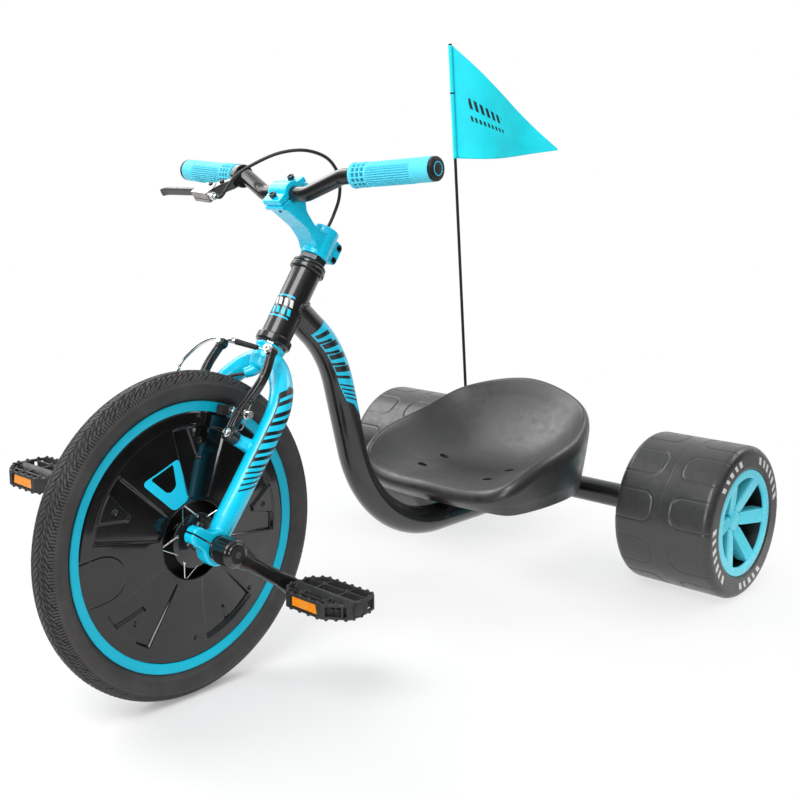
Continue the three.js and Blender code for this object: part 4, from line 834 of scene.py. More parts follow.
def front_hub():
    half = [(27, 17), (27, 37), (31, 37), (32.5, 30), (34, 13.5), (50, 13), (58, 13)]
    prof = rounded([(-x, r) for x, r in half[::-1]] + half, 0.8, 3)
    prof = np.vstack([[(-58, 8.8)], prof, [(58, 8.8)]])
    hub = lathe(prof, 64, closed=True)
    build("hub_shell", hub, WHEEL, black_paint, "front_wheel", replaces="front_hub")
    # A dark sheet in the hub's middle plane, painted shade: it stands for the shaded inside of the wheel seen
    # through the covers' openings.
    disc = rounded(band(-0.8, 0.8, 17.5, 98), 0.4, 2, closed=True)
    build("hub_shade_disc", lathe(disc, 96, closed=True), WHEEL, black_plastic, "front_wheel")
    spokes, heads = [], []
    for i in range(SPOKES):
        side = 1 if i % 2 else -1
        lean = math.radians((1 if (i // 2) % 2 else -1) * 40)
        a = TAU * i / SPOKES
        foot = np.array([side * 29, 33 * math.cos(a - lean), 33 * math.sin(a - lean)])
        tip = np.array([side * 2.5, 162 * math.cos(a), 162 * math.sin(a)])
        out = np.array([side * 2.6, 0, 0])
        way = unit(tip - foot)
        spokes.append(sweep(rounded([foot - out, foot + out, foot + out + way * 6, tip], [0, 2.2, 0, 0], 5),
                            1.0, 10))
        spokes.append(sweep([tip - way * 14, tip - way * 13, tip], [1.2, 1.7, 1.8], 10))
        bead = lathe([(-1.0, 0), (-0.9, 1.7), (-0.2, 2.2), (0.4, 2.0), (0.9, 1.1), (1.0, 0)], 16)
        heads.append(bead.at(shift(*(foot - out * 0.95 if i % 4 < 2 else foot + out * 1.3))))
    build("spokes", total(spokes + heads), WHEEL, steel, "front_wheel")


# Angles in degrees round the wheel, radii, and how far out the cover's face is at its inner and outer edge.
PETALS = [44.7 + 72 * k for k in range(5)]
VALLEYS = [8.7 + 72 * k for k in range(5)]
COVER_IN, COVER_OUT = 52, 169.3
HUB_FACE, RIM_FACE = 29, 14.5
SCREWS = ((8.7, 131), (152.7, 131), (224.7, 131))
DIMPLES = ((271.6, 140), (316.3, 140), (80.7, 131))
DROP_AT = 188.7
BOSS_APEX = 112


def round_to(deg, at):
    """How many degrees an angle lies past another, from -180 to 180."""
    return (deg - at + 180) % 360 - 180


def cover_height(theta, r):
    """How far the cover's face lies from the wheel's middle plane."""
    deg = np.degrees(theta)
    cone = HUB_FACE + (RIM_FACE - HUB_FACE) * (r - COVER_IN) / (COVER_OUT - COVER_IN)
    out = np.broadcast_to(cone, np.broadcast(theta, r).shape).copy()
    for k, at in enumerate(VALLEYS):
        off = round_to(deg, at)
        arc = np.radians(np.abs(off)) * r
        edge = np.tan(np.radians(17.2)) * r - arc
        tip = 5.5 * np.clip(np.abs(off) / 17, 0, 1) ** 2
        inside = smoothstep(0, 3.2, edge) * smoothstep(52.5 + tip, 57 + tip, r)
        inside = inside * (1 - smoothstep(147.5, 151.5, r))
        depth = 1.4 + 3.6 * np.clip((r - 56) / 92, 0, 1)
        side = np.radians(off) * r
        spread = 3.0 + 16.0 * np.clip((r - BOSS_APEX) / 38, 0, 1)
        boss = 1 - smoothstep(spread, spread + 3.2, np.abs(side))
        boss = boss * smoothstep(BOSS_APEX - 6, BOSS_APEX + 1, r)
        if k == 4:
            bar = smoothstep(118, 126, r) * (1 - smoothstep(140, 147, r))
            boss = (1 - smoothstep(1.0, 4.0, np.abs(side + 2))) * bar * 0.8
        out -= depth * inside * (1 - 0.85 * boss)
    for at, where in SCREWS + DIMPLES:
        off = np.radians(round_to(deg, at)) * r
        gap = np.hypot(off, r - where)
        out -= 2.6 * (1 - smoothstep(2.3, 3.1, gap)) + 0.35 * (1 - smoothstep(3.6, 4.6, gap))
    off = round_to(deg, DROP_AT)
    side = np.radians(off) * r
    rim_of_drop = np.hypot(side / 31, np.clip(146 - r, 0, 99) / 38) - 1
    trace = np.where(r < 146, rim_of_drop * 33, np.where(np.abs(side) > 30, np.abs(side) - 31, r - 154.5))
    trace = np.where((r >= 146) & (np.abs(side) <= 30), np.maximum(r - 154.5, -5), trace)
    out -= 0.55 * line_mask(trace, 1.2, 0.9)
    out -= 0.5 * line_mask(r - 152.6, 1.0, 1.2) * 0.5
    for at in PETALS:
        off = round_to(deg, at)
        swell = np.clip(1 - (off / 19.5) ** 2, 0, 1)
        out = out + 0.9 * swell * smoothstep(56, 80, r) * (1 - smoothstep(120, 150, r))
    out -= 0.9 * smoothstep(167.2, COVER_OUT, r)
    out -= 0.8 * (1 - smoothstep(COVER_IN, 53.6, r))
    return out


def wheel_covers():
    r = np.concatenate([np.linspace(COVER_IN, 60, 12, endpoint=False), np.linspace(60, COVER_OUT, 132)])
    rr, tt = r[:, None], circle(960)[None]
    x = cover_height(tt, rr)
    lip, rim = polar(x[:1] - 2.2, rr[:1], tt), polar(x[-1:] - 2.4, rr[-1:], tt)
    form = grid(np.concatenate([lip, polar(x, rr, tt), rim]), wrap_cols=True)
    for name, side in SIDES:
        build("cover_" + name, mirrored(form, side), WHEEL, cover_plastic, "front_wheel", sharp=50,
              replaces="wheel_cover_" + name, clean=False)
    for name, side in SIDES:
        screws = []
        for at, where in SCREWS:
            a = math.radians(at)
            spot = cover_height(np.array([[a]]), np.array([[where + 4.8]]))[0, 0] - 1.6
            head = lathe([(0, 0), (0, 2.2), (0.7, 2.2), (1.0, 1.8), (1.0, 0.9), (0.5, 0.8), (0.5, 0)], 20,
                         flats=(4, 5, 6))
            screws.append(head.at(turn("X", at) @ shift(spot, where, 0)))
        build("cover_screws_" + name, mirrored(total(screws), side), WHEEL, dark_steel, "front_wheel")
        build("cover_shield_" + name, mirrored(cover_shield(), side), WHEEL, cyan_print, "front_wheel")


def cover_shield():
    """The cyan U-shaped band printed on one petal."""
    outer = [(-77, 90), (-17, 113), (-7, 57), (-32, 46)]
    inner = [(-63, 93), (-27, 107), (-25, 78), (-38, 69)]
    o = rounded(outer, [5, 5, 9, 9], 6, closed=True)
    i = rounded(inner, [2, 2, 9, 9], 6, closed=True)
    o, i = (even(np.vstack([c, c[:1]]), 121)[:-1] for c in (o, i))
    rows = [o + (i - o) * t for t in np.linspace(0, 1, 9)]
    yz = np.array(rows)
    rr, tt = np.hypot(yz[..., 0], yz[..., 1]), np.arctan2(yz[..., 1], yz[..., 0])
    x = cover_height(tt, rr) + 0.12
    return grid(np.stack([x, yz[..., 0], yz[..., 1]], -1), wrap_cols=True)


CRANK_ANGLE = 35.2
CRANK_LENGTH = 120.5
PEDAL_X = 120.6 + 56


def squarish(c, s, power):
    """Turns a circle's radius into a rounded square's; a higher power has tighter corners."""
    return (np.abs(c) ** power + np.abs(s) ** power) ** (-1 / power)


def axle_and_cranks():
    half = 6.35
    shaft = lathe(rounded(rod(-80, 80, 8.5), 0.6, 2), 48)
    ends = [block(a, b, -half, half, -half, half).at(turn("X", -CRANK_ANGLE))
            for a, b in ((-109, -80.2), (80.2, 109))]
    build("axle_shaft", total([shaft, *ends]), WHEEL, steel, "front_wheel", replaces="front_axle")
    for name, side in SIDES:
        angle = -CRANK_ANGLE if side > 0 else 180 - CRANK_ANGLE
        boss = lathe(rounded([(84, 0), (84, 18.5), (88, 19.3), (110.5, 19.3), (113.4, 16.8), (113.4, 14.8),
                              (116.0, 14.2), (117.2, 9), (117.2, 0)], [0, 1.5, 1, 2.2, 0.8, 0.8, 1.6, 3, 0],
                             4), 72)
        widths = [(-4, 16.5), (14, 16.2), (34, 11.8), (60, 10.6), (92, 10.4), (110, 12.2),
                  (CRANK_LENGTH, 12.6), (131.5, 8.5)]
        rows = []
        ang = np.linspace(0, TAU, 40, endpoint=False)
        for y in np.linspace(-4, 133, 64):
            w = np.interp(y, *zip(*widths))
            if y > CRANK_LENGTH:
                w = math.sqrt(max(12.6 ** 2 - (y - CRANK_LENGTH) ** 2, 0.4))
            t = np.interp(y, [-4, 20, 60, 105, 133], [7.6, 7.4, 6.2, 6.4, 6.4])
            mid = np.interp(y, [-4, 25, 60, 133], [105.5, 105.5, 106.2, 106.6])
            c, s = np.cos(ang), np.sin(ang)
            k = squarish(c, s, 3.2)
            rows.append(np.stack([mid + t * k * c, np.full_like(ang, y), w * k * s], -1))
        arm = grid(np.array(rows), wrap_cols=True, caps=True)
        form = mirrored(boss + arm, side)
        where = WHEEL @ turn("X", angle)
        fused("crank_forged_" + name, form, where, black_paint, "front_wheel", 0.75, 8,
              replaces="crank_" + name)
        cap = lathe(rounded([(116.2, 0), (116.2, 11.8), (117.2, 11.2), (117.4, 5), (116.9, 4.2), (116.9, 0)],
                            [0, 0.6, 0.6, 0.4, 0.4, 0], 3), 48)
        build("crank_cap_" + name, mirrored(cap, side), where, black_plastic, "front_wheel")
        eye = WHEEL @ turn("X", angle) @ shift(0, CRANK_LENGTH, 0) @ turn("X", -angle)
        pedal(name, side, eye)


def pedal(name, side, eye):
    """One pedal: a toothed cage round a barrel, with windows, a cap over the bearing and two reflectors."""
    body = "pedal_" + name
    flip = STILL if side > 0 else MIRROR_X
    spindle = lathe(rounded([(100, 0), (100, 7), (113.3, 7), (113.3, 7.5), (120.3, 7.5), (120.3, 5.5),
                             (224, 4.5), (224, 0)], 0.5, 2), 32)
    build("spindle_" + name, spindle.at(flip), eye, dark_steel, "front_wheel",
          replaces="pedal_spindle_" + name)
    outline = [(-56, -20), (-38, -38), (26, -38), (56, -14), (56, 14), (52, 34), (44, 38), (-38, 38),
               (-56, 20)]
    tall, wall = 10.3, 3.6
    tooth = lathe_z(rounded([(-1.5, 0), (-1.5, 2.5), (0.8, 2.5), (2.3, 1.6), (2.3, 0)], [0, 0, 0.8, 0.8, 0],
                            3), 20)
    parts, cuts, bosses, teeth = [], [], [], []
    for i, (x0, y0) in enumerate(outline):
        x1, y1 = outline[(i + 1) % len(outline)]
        length = math.hypot(x1 - x0, y1 - y0)
        u, v = ((x1 - x0) / length, (y1 - y0) / length), (-(y1 - y0) / length, (x1 - x0) / length)
        edge = basis((*u, 0), (*v, 0), (0, 0, 1), (x0, y0, 0))
        parts.append(block(-0.3, length + 0.3, 0, wall, -tall, tall).at(edge))
        if i in (2, 4):
            low, high = (0.14 * length, 0.86 * length) if i == 2 else (0.16 * length, 0.84 * length)
            cuts.append(block(low, high, -2, wall + 1, -6.4, 6.4).at(edge))
            if i == 2:
                bosses.append(block(low - 1, high + 1, 5.2, 6.6, -8, 8).at(edge))
                for x in (0.38, 0.56):
                    knob = lathe(rounded([(0, 0), (0, 2.3), (4.2, 2.1), (4.2, 0)], 0.4, 2), 20)
                    bosses.append(knob.at(edge @ facing_front(x * length, 5.6, 2.2)))
                bosses.append(block(0.4 * length, 0.78 * length, 3.0, 5.6, -4.4, -2.8).at(edge))
        count = max(1, round(length / 14.5))
        for k in range(count):
            at = (k + 0.5) / count * length
            for up in (1, -1):
                upright = tooth.at(Matrix.Diagonal((1, 1, up, 1)))
                teeth.append(upright.at(edge @ shift(at, wall / 2, up * tall)))
    parts.append(lathe(rounded([(-55.5, 0), (-55.5, 9.6), (50, 9.2), (54, 8.6), (54, 0)], 1.0, 3), 40))
    for x in (-28, 14):
        parts.append(block(x - 1.5, x + 1.5, -36, 36, -7.4, 7.4))
        for s in (-1, 1):
            for up in (1, -1):
                teeth.append(tooth.at(Matrix.Diagonal((1, 1, up, 1))).at(shift(x, s * 21.5, up * 8.2)))
    for s in (-1, 1):
        parts.append(block(-53, 50, s * 21.5 - 1.6, s * 21.5 + 1.6, -8.2, 8.2))
    parts.append(block(50, 55.8, -11, 11, -tall, tall))
    for s in (-1, 1):
        cuts.append(block(-30, 19, s * 38 - 1.7, s * 38 + 1.7, -7.6, 7.6))
    where = eye @ flip @ shift(PEDAL_X, 0, 0)
    fused("pedal_cage_" + name, total(parts + teeth), where, pedal_plastic, body, 0.75, 3, cuts=cuts,
          replaces="pedal_" + name)
    build("pedal_bosses_" + name, total(bosses), where, black_plastic, body)
    pad = rounded([(-28.5, -6.3), (17.5, -6.3), (14.5, 6.3), (-28.5, 6.3)], 0.8, 2, closed=True)
    pads = [slab(pad, -0.9, 0.9).at(basis((1, 0, 0), (0, 0, 1), (0, -1, 0), (0, s * 35.6, 0)))
            for s in (-1, 1)]
    bevelled(build("pedal_reflectors_" + name, total(pads), where, amber, body), 0.4, 2)
    cap = lathe(rounded([(-2, 0), (-2, 10.2), (0.6, 10.2), (1.0, 9.6), (0.4, 8.9), (0.4, 8.3), (0.9, 7.9),
                         (0.9, 0)], 0.25, 2), 48)
    build("pedal_endcap_" + name, cap.at(shift(56.2, 0, 0)), where, pedal_plastic, body)


front_tyre()
front_rim()
front_hub()
wheel_covers()
axle_and_cranks()


# ---------------------------------------------------------------- fork and brake
LEG_LINE = [(66, 20), (69, 90), (71, 160), (70, 198), (58, 228), (38, 252), (12, 270)]
LEG_R = 16.25
DROPOUT_X = 70
DROPOUT_BOLT = 41
STUD_X, STUD_S = 50, 139
PAD_FACE = 18.4
ARM_TOP = 266


def leg_path(side, count=60):
    return even(spline([(side * x, 0, s) for x, s in LEG_LINE], 12), count)


def dropout_outline():
    """The clamp at a leg's foot, as [Y, Z]: a disc with a blunt nose towards the front."""
    pts = [(-49.6, -6), (-49.6, 6), (-44, 12.2), (-30, 12.5), (-21, 13.5)]
    pts += [(24 * math.cos(a), 24 * math.sin(a)) for a in np.radians(np.arange(138, -139, -8))]
    return pts + [(-21, -13.5), (-30, -12.5), (-44, -12.2)]


def fork_parts():
    crown = lathe_z(rounded([(249, 0), (249, 15), (254, 18.5), (266, 20), (282, 20), (284, 22.2),
                             (288, 22.2), (288, 0)], [0, 4, 3, 3, 2, 1, 0.6, 0], 4), 64)
    cable_stop = even([(0, -2, 262), (-3, -8, 246), (-11, -14, 237)], 9)
    parts = [crown]
    for side in (1, -1):
        path = leg_path(side)
        at = np.linspace(0, 1, len(path))
        radius = np.interp(at, [0, 0.06, 0.7, 0.86, 1], [15.2, 15.9, 16.25, 16.0, 14.8])
        parts.append(sweep(path, radius, 40))
        plate = rounded(dropout_outline(), 5, 3, closed=True)
        rows = [np.column_stack([np.full(len(plate), DROPOUT_X + x), plate * k])
                for x, k in ((-9.9, 0.93), (-9.2, 0.97), (-7.4, 1), (7.4, 1), (9.2, 0.97), (9.9, 0.93))]
        form = grid(np.array(rows), wrap_cols=True, caps=True)
        parts.append(mirrored(form, side))
        foot = even([(side * 68.5, 0, 8), (side * 66.5, 0, 26), (side * 66.2, 0, 40)], 8)
        parts.append(sweep(foot, np.linspace(12, 16.4, 8), 40))
        stub = [(side * 69, 0, STUD_S), (side * 60, -10, STUD_S), (side * STUD_X, -22, STUD_S)]
        parts.append(sweep(stub, [10, 9.2, 9], 28))
        boss = lathe(rounded([(0, 0), (0, 9), (26, 9), (28, 8), (28, 0)], 0.8, 3), 40)
        parts.append(boss.at(facing_front(side * STUD_X, -2, STUD_S)))
    parts.append(sweep(cable_stop, np.linspace(10, 7.2, 9), 28))
    return total(parts)


def fork():
    cuts = []
    for side in (1, -1):
        eye, foot = lathe(rod(50, 90, 17.9), 64), side * DROPOUT_X
        cuts += [mirrored(eye, side), block(foot - 20, foot + 20, -60, -10, -1.3, 1.3)]
        cuts.append(lathe_z(rod(-30, 30, 3.4), 24).at(shift(foot, -DROPOUT_BOLT, 0)))
    fused("fork_welded", fork_parts(), STEER, cyan_paint, "steering", 1.0, 10, cuts=cuts, replaces="fork")
    steerer = lathe_z(rounded(rect(270, 480, 14.3, 11), 0.6, 2, closed=True), 64, closed=True)
    build("steerer", steerer, STEER, steel, "steering")
    for name, side in SIDES:
        eye = lathe(rounded([(-8.4, 9.0), (-8.4, 17.4), (8.6, 17.4), (8.6, 14.6), (7.4, 14.0), (7.4, 10.4),
                             (8.6, 9.6), (8.6, 9.0)], 0.5, 2, closed=True), 64, closed=True)
        eye = eye.at(shift(DROPOUT_X, 0, 0))
        build("axle_bearing_ring_" + name, mirrored(eye, side), STEER, steel, "steering",
              replaces="axle_bearing_" + name)
        bolt = lathe_z(rounded([(-16, 0), (-16, 5), (-12.5, 5), (-12.5, 3), (12.5, 3), (12.5, 4.9),
                                (16.8, 4.9), (17.4, 4.3), (17.4, 2.4), (14.8, 2.3), (14.8, 0)], [0] * 11, 2),
                       36, flats=(8, 9, 6))
        build("dropout_bolt_" + name, bolt.at(shift(side * DROPOUT_X, -DROPOUT_BOLT, 0)), STEER, dark_steel,
              "steering")


# How far prints stand off the skin, and each bar's start and width along the fork leg.
INK, INK_OVER = 0.3, 0.42
FORK_BARS = [(0, 7), (13, 5), (24, 9), (39, 5), (50, 9), (65, 5), (76, 9), (91, 5)]


def leg_surface(side, angle, along, lift):
    """Points of a fork leg's skin: the angle runs from straight outward towards the front."""
    path = leg_path(side, 200)
    s = np.linspace(0, 1, len(path)) * np.linalg.norm(np.diff(path, axis=0), axis=1).sum()
    centre = np.stack([np.interp(along, s, path[:, k]) for k in range(3)], -1)
    ahead = np.stack([np.interp(along + 1, s, path[:, k]) for k in range(3)], -1)
    tangent = ahead - centre
    tangent /= np.linalg.norm(tangent, axis=-1)[..., None] + 1e-9
    front = np.array([0.0, -1.0, 0.0])
    out = np.cross(tangent, front) * side
    out = np.where((out[..., 0:1] * side) < 0, -out, out)
    r = LEG_R + lift
    return centre + r * (np.cos(angle)[..., None] * out + np.sin(angle)[..., None] * front)


def quad_patch(surface, corners, nu, nv):
    """A printed patch: four (angle, along) corners laid on a surface."""
    c = np.array(corners, float)
    u, v = np.meshgrid(np.linspace(0, 1, nu), np.linspace(0, 1, nv), indexing="ij")
    w = [(1 - u) * (1 - v), u * (1 - v), u * v, (1 - u) * v]
    p = sum(w[k][..., None] * c[k] for k in range(4))
    return grid(surface(p[..., 0], p[..., 1]))


def fork_print():
    """A dark panel with plain slanted bars on each leg's outer side, in place of lettering."""
    for name, side in SIDES:
        low = lambda a, s: leg_surface(side, np.radians(a), s, INK)
        high = lambda a, s: leg_surface(side, np.radians(a), s, INK_OVER)
        rear, front, start, end, lean = -44, 58, 88, 196, -18
        panel = [quad_patch(low, [(rear, start - lean), (front, start), (front, end), (rear, end - lean)],
                            24, 60)]
        panel.append(quad_patch(low, [(rear, end - lean), (front - 30, end + 3), (front - 44, end + 12),
                                      (rear, end + 14)], 16, 8))
        for k in range(4):
            s, left, right = start - 8 - 8.2 * k, rear + 1 + 5 * k, front - 3 * k
            stripe = [(left, s - lean), (right, s), (right, s + 2.4), (left, s + 2.4 - lean)]
            panel.append(quad_patch(low, stripe, 20, 3))
        build("fork_panel_" + name, total(panel), STEER, black_print, "steering")
        bars = []
        for k, (gap, wide) in enumerate(FORK_BARS):
            s = start + 4 + gap
            inset = 9 if k % 2 else 7
            left, right = rear + inset, front - inset
            bar = [(left, s - lean), (right, s), (right, s + wide), (left, s + wide - lean)]
            bars.append(quad_patch(high, bar, 20, 5))
        build("fork_bars_" + name, total(bars), STEER, cyan_print, "steering")


ARM_LINE = [(48, 132), (45.5, 158), (49, 180), (56.5, 204), (60, 230), (53, ARM_TOP)]


def rail_arm(side):
    """A forged brake arm: two rounded rails with a thinner web between them, an eye and a top fork."""
    line = spline(ARM_LINE, 10)
    half = np.interp(line[:, 1], [132, 160, 182, 208, 234, ARM_TOP], [8, 6.8, 6.0, 5.4, 5.0, 4.8])
    t = np.gradient(line, axis=0)
    t /= np.linalg.norm(t, axis=1)[:, None]
    n = np.stack([t[:, 1], -t[:, 0]], -1)
    place = lambda xs, f: np.stack([side * xs[:, 0], np.full(len(xs), -f), xs[:, 1]], -1)
    parts = []
    for s in (-1, 1):
        edge = line + n * (s * (half - 2.1))[:, None]
        section = rounded(rect(-2.1, 2.1, -5.6, 5.6), 1.9, 4, closed=True)
        parts.append(sweep(place(edge, 40), 1, section=section, first=(1, 0, 0)))
    left, right = line - n * (half - 3)[:, None], line + n * (half - 3)[:, None]
    near, far = 37.6, 42.4
    ring = np.stack([place(left, near), place(right, near), place(right, far), place(left, far)], 1)
    parts.append(grid(ring, wrap_cols=True, caps=True))
    eye = lathe(rounded([(0, 0), (0, 10), (15, 10), (16, 9), (16, 0)], 0.8, 3), 48)
    parts.append(eye.at(facing_front(side * STUD_X, -31, STUD_S)))
    top = lathe(rounded(rod(0, 13, 7), 1.2, 3), 32)
    parts.append(top.at(facing_front(side * 52, -33.6, ARM_TOP)))
    knob = lathe(rounded(rod(0, 9, 3.2), 0.8, 3), 20)
    parts.append(knob.at(shift(side * 54, -40, 190) @ turn("Z", 0 if side > 0 else 180)))
    return total(parts)


def brakes():
    for name, side in SIDES:
        body = "brake_arm_" + name
        fused("brake_arm_forged_" + name, rail_arm(side), STEER, black_paint, body, 0.7, 5,
              replaces="brake_arm_" + name)
        forward = 40.0
        radius = (RIM_R + RIM_BED) / 2
        z = math.sqrt(radius ** 2 - forward ** 2)
        tilt = math.degrees(math.asin(forward / radius))
        outline = [(-17, -5.6), (-15.5, -6.8), (15, -6.8), (17.5, -5), (17.5, 5), (15, 6.8), (-15.5, 6.8),
                   (-17, 5.6)]
        shoe = side_slab(outline, 12).at(shift(PAD_FACE + 6, 0, 0)).at(turn("X", tilt + 9))
        form = shoe.at(shift(0, -forward, z))
        obj = build("brake_shoe_" + name, mirrored(form, side), STEER, black_rubber, body,
                    replaces="brake_pad_" + name)
        bevelled(obj, 0.9, 3)
        stud = lathe(rounded([(26, 0), (26, 5.5), (31, 6.5), (33, 6.5), (33, 3), (58, 3), (58, 6.2),
                              (60.5, 6.8), (62, 6.8), (62, 5.4), (68.5, 5.4), (69, 4.9), (69, 2.6),
                              (66, 2.4), (66, 0)], [0, 1, 1, 1, 0, 0, 1, 1, 0.4, 0, 0, 0, 0, 0, 0], 2), 36)
        form = stud.at(shift(0, -forward, z))
        build("brake_stud_" + name, mirrored(form, side), STEER, steel, body)
        dome = lathe(rounded([(0, 0), (0, 6.8), (2, 7.4), (3.2, 7.2), (5.6, 5.4), (6.6, 2.8), (5.2, 2.4),
                              (5.2, 0)], [0, 0.6, 0.8, 0.8, 2, 0.3, 0.2, 0], 3), 40)
        build("brake_pivot_" + name, dome.at(facing_front(side * STUD_X, -47, STUD_S)), STEER, steel, body)
        wire = [(side * STUD_X, -36, STUD_S + 9.5), (side * 60, -36, 152), (side * 59, -38, 176),
                (side * 58.6, -38, 196)]
        build("brake_spring_" + name, sweep(spline(wire, 8), 0.9, 10), STEER, steel, body)
    brake_link()


def brake_link():
    """The noodle that the inner wire comes out of, its boot, the anchor bolt and the wire's crimped end."""
    tube = sweep(steered(spline(NOODLE, 8)), 2.9, 24)
    build("noodle", tube, STILL, steel, "brake_arm_right", replaces="cable_noodle")
    p0, p1 = steered([(-127.3, 34, 206), (-126.2, 34.4, 222)])
    ferrule = [p0 + (p1 - p0) * t for t in (0, 0.05, 0.9, 0.95, 1)]
    build("noodle_ferrule", sweep(ferrule, [3.2, 3.7, 3.7, 3.4, 2.7], 24), STILL, steel, "brake_arm_right")
    holder = steered([(-46, 41, 273.0), (-44, 41, 272.9), (-30, 41, 272.2), (-28, 41, 272.0)])
    build("noodle_collar", sweep(holder, [3.4, 4.4, 4.4, 3.2], 24), STILL, steel, "brake_arm_right")
    start, end = steered([(-24, 41, 271.5), (40, 41, ARM_TOP)])
    rows, radius = [], []
    for k in range(57):
        t = k / 56
        rows.append(start + (end - start) * t * 0.74)
        radius.append(3.9 + 0.55 * math.sin(TAU * 11 * t) - 0.8 * t)
    build("cable_boot", sweep(rows, radius, 24), STILL, black_rubber, "brake_arm_right")
    wire = sweep([start + (end - start) * 0.7, end], 0.8, 10)
    hook = [(44, 41, ARM_TOP), (54, 42, 263), (60, 42, 250), (60.5, 42, 236), (60, 42, 226)]
    tail = spline(steered(hook), 8)
    build("inner_wire", wire + sweep(tail, 0.8, 10), STILL, steel, "brake_arm_left")
    crimp = steered([(60.1, 42, s) for s in (230, 229, 222, 221)])
    build("wire_crimp", sweep(crimp, [1.2, 1.9, 1.9, 1.3], 14), STILL, steel, "brake_arm_left")
    nut = lathe(rounded([(0, 0), (0, 6.4), (1.4, 6.4), (1.4, 5), (6, 5), (6.6, 4.4), (6.6, 2.6), (8.4, 2.6),
                         (8.4, 0)], [0] * 9, 2), 36, flats=(4, 5, 6))
    build("anchor_bolt", nut.at(facing_front(52, -46.4, ARM_TOP)), STEER, steel, "brake_arm_left")
    pivot = lathe(rounded([(0, 0), (0, 4.6), (3, 4.6), (3.8, 3.6), (3.8, 0)], 0.5, 2), 28)
    build("noodle_pivot", pivot.at(facing_front(-52, -46.4, ARM_TOP)), STEER, steel, "brake_arm_right")


fork()
fork_print()
brakes()


# ---------------------------------------------------------------- headset, stem and bar
def headset():
    upper = rounded([(409.5, 17.1), (409.5, 24.5), (411, 26), (416.5, 26), (418, 25), (418, 21.2),
                     (411, 21.2), (411, 17.1)], [0, 0.8, 0.8, 1.2, 0.8, 0.4, 0, 0], 4, closed=True)
    build("headset_top_cup", lathe_z(upper, 72, closed=True), STEER, black_paint, "frame",
          replaces="upper_cup")
    lower = rounded([(303.3, 17.1), (303.3, 24.5), (301.8, 26), (293, 26), (290, 23.4), (289.8, 21.2),
                     (301, 21.2), (301, 17.1)], [0, 0.8, 0.8, 1.6, 1, 0.4, 0, 0], 4, closed=True)
    build("headset_low_cup", lathe_z(lower, 72, closed=True), STEER, black_paint, "frame",
          replaces="lower_cup")
    nut = rounded([(418.3, 14.7), (418.3, 24.4), (419.6, 25), (423, 25), (426.3, 20.4), (426.3, 14.7)],
                  [0, 0.6, 0.6, 1.6, 1.2, 0], 4, closed=True)
    build("headset_nut", lathe_z(nut, 72, closed=True), STEER, black_paint, "steering",
          replaces="adjusting_nut")
    flats = rounded([(426.6, 14.7), (426.6, 17.4), (427.6, 18), (433.6, 18), (434.6, 17.2), (434.6, 14.7)],
                    [0] * 6, 3, closed=True)
    build("headset_locknut", lathe_z(flats, 72, closed=True, flats=(1, 4, 6)), STEER, dark_steel, "steering",
          replaces="locknut", sharp=20)
    for node in ("upper_bearing", "lower_bearing"):
        dressed(node, steel)


HEAD_R = 22.0
HEAD_TOP = 409.2
STEM_BOTTOM = HEAD_TOP + 8.5 + 8 + 8 + 4 * 0.3
STEM_WIDE = 35.4
PINCH_BOLTS = [shift(0, 27, STEM_BOTTOM + 13 + 20 * k) for k in range(2)]
TO_STEER = STEER.inverted() @ TRIKE
BAR_IN_STEER = TO_STEER @ Vector((0, *BAR_CENTRE))
CAP_TILT = math.radians(56.2)
CAP_UP = (TO_STEER.to_3x3() @ Vector((0, -math.cos(CAP_TILT), math.sin(CAP_TILT)))).normalized()
CAP_ALONG = (TO_STEER.to_3x3() @ Vector((0, math.sin(CAP_TILT), math.cos(CAP_TILT)))).normalized()


def clamp_point(along, out):
    p = BAR_IN_STEER + along * CAP_ALONG + out * CAP_UP
    return (p.y, p.z)


def cap_frame(along):
    y, z = clamp_point(along, 0)
    return STEER @ basis((1, 0, 0), CAP_ALONG, CAP_UP, (0, y, z))


def socket_bolt(head, height, shank, length, hexagon):
    """A socket screw along X, its head's seat at 0 and the shank behind it."""
    prof = [(-length, 0), (-length, shank), (0, shank), (0, head), (height - 0.5, head), (height, head - 0.5),
            (height, hexagon * 1.12), (height - 0.3, hexagon), (height * 0.35, hexagon), (height * 0.35, 0)]
    return lathe(prof, 36, flats=(6, 8, 6))


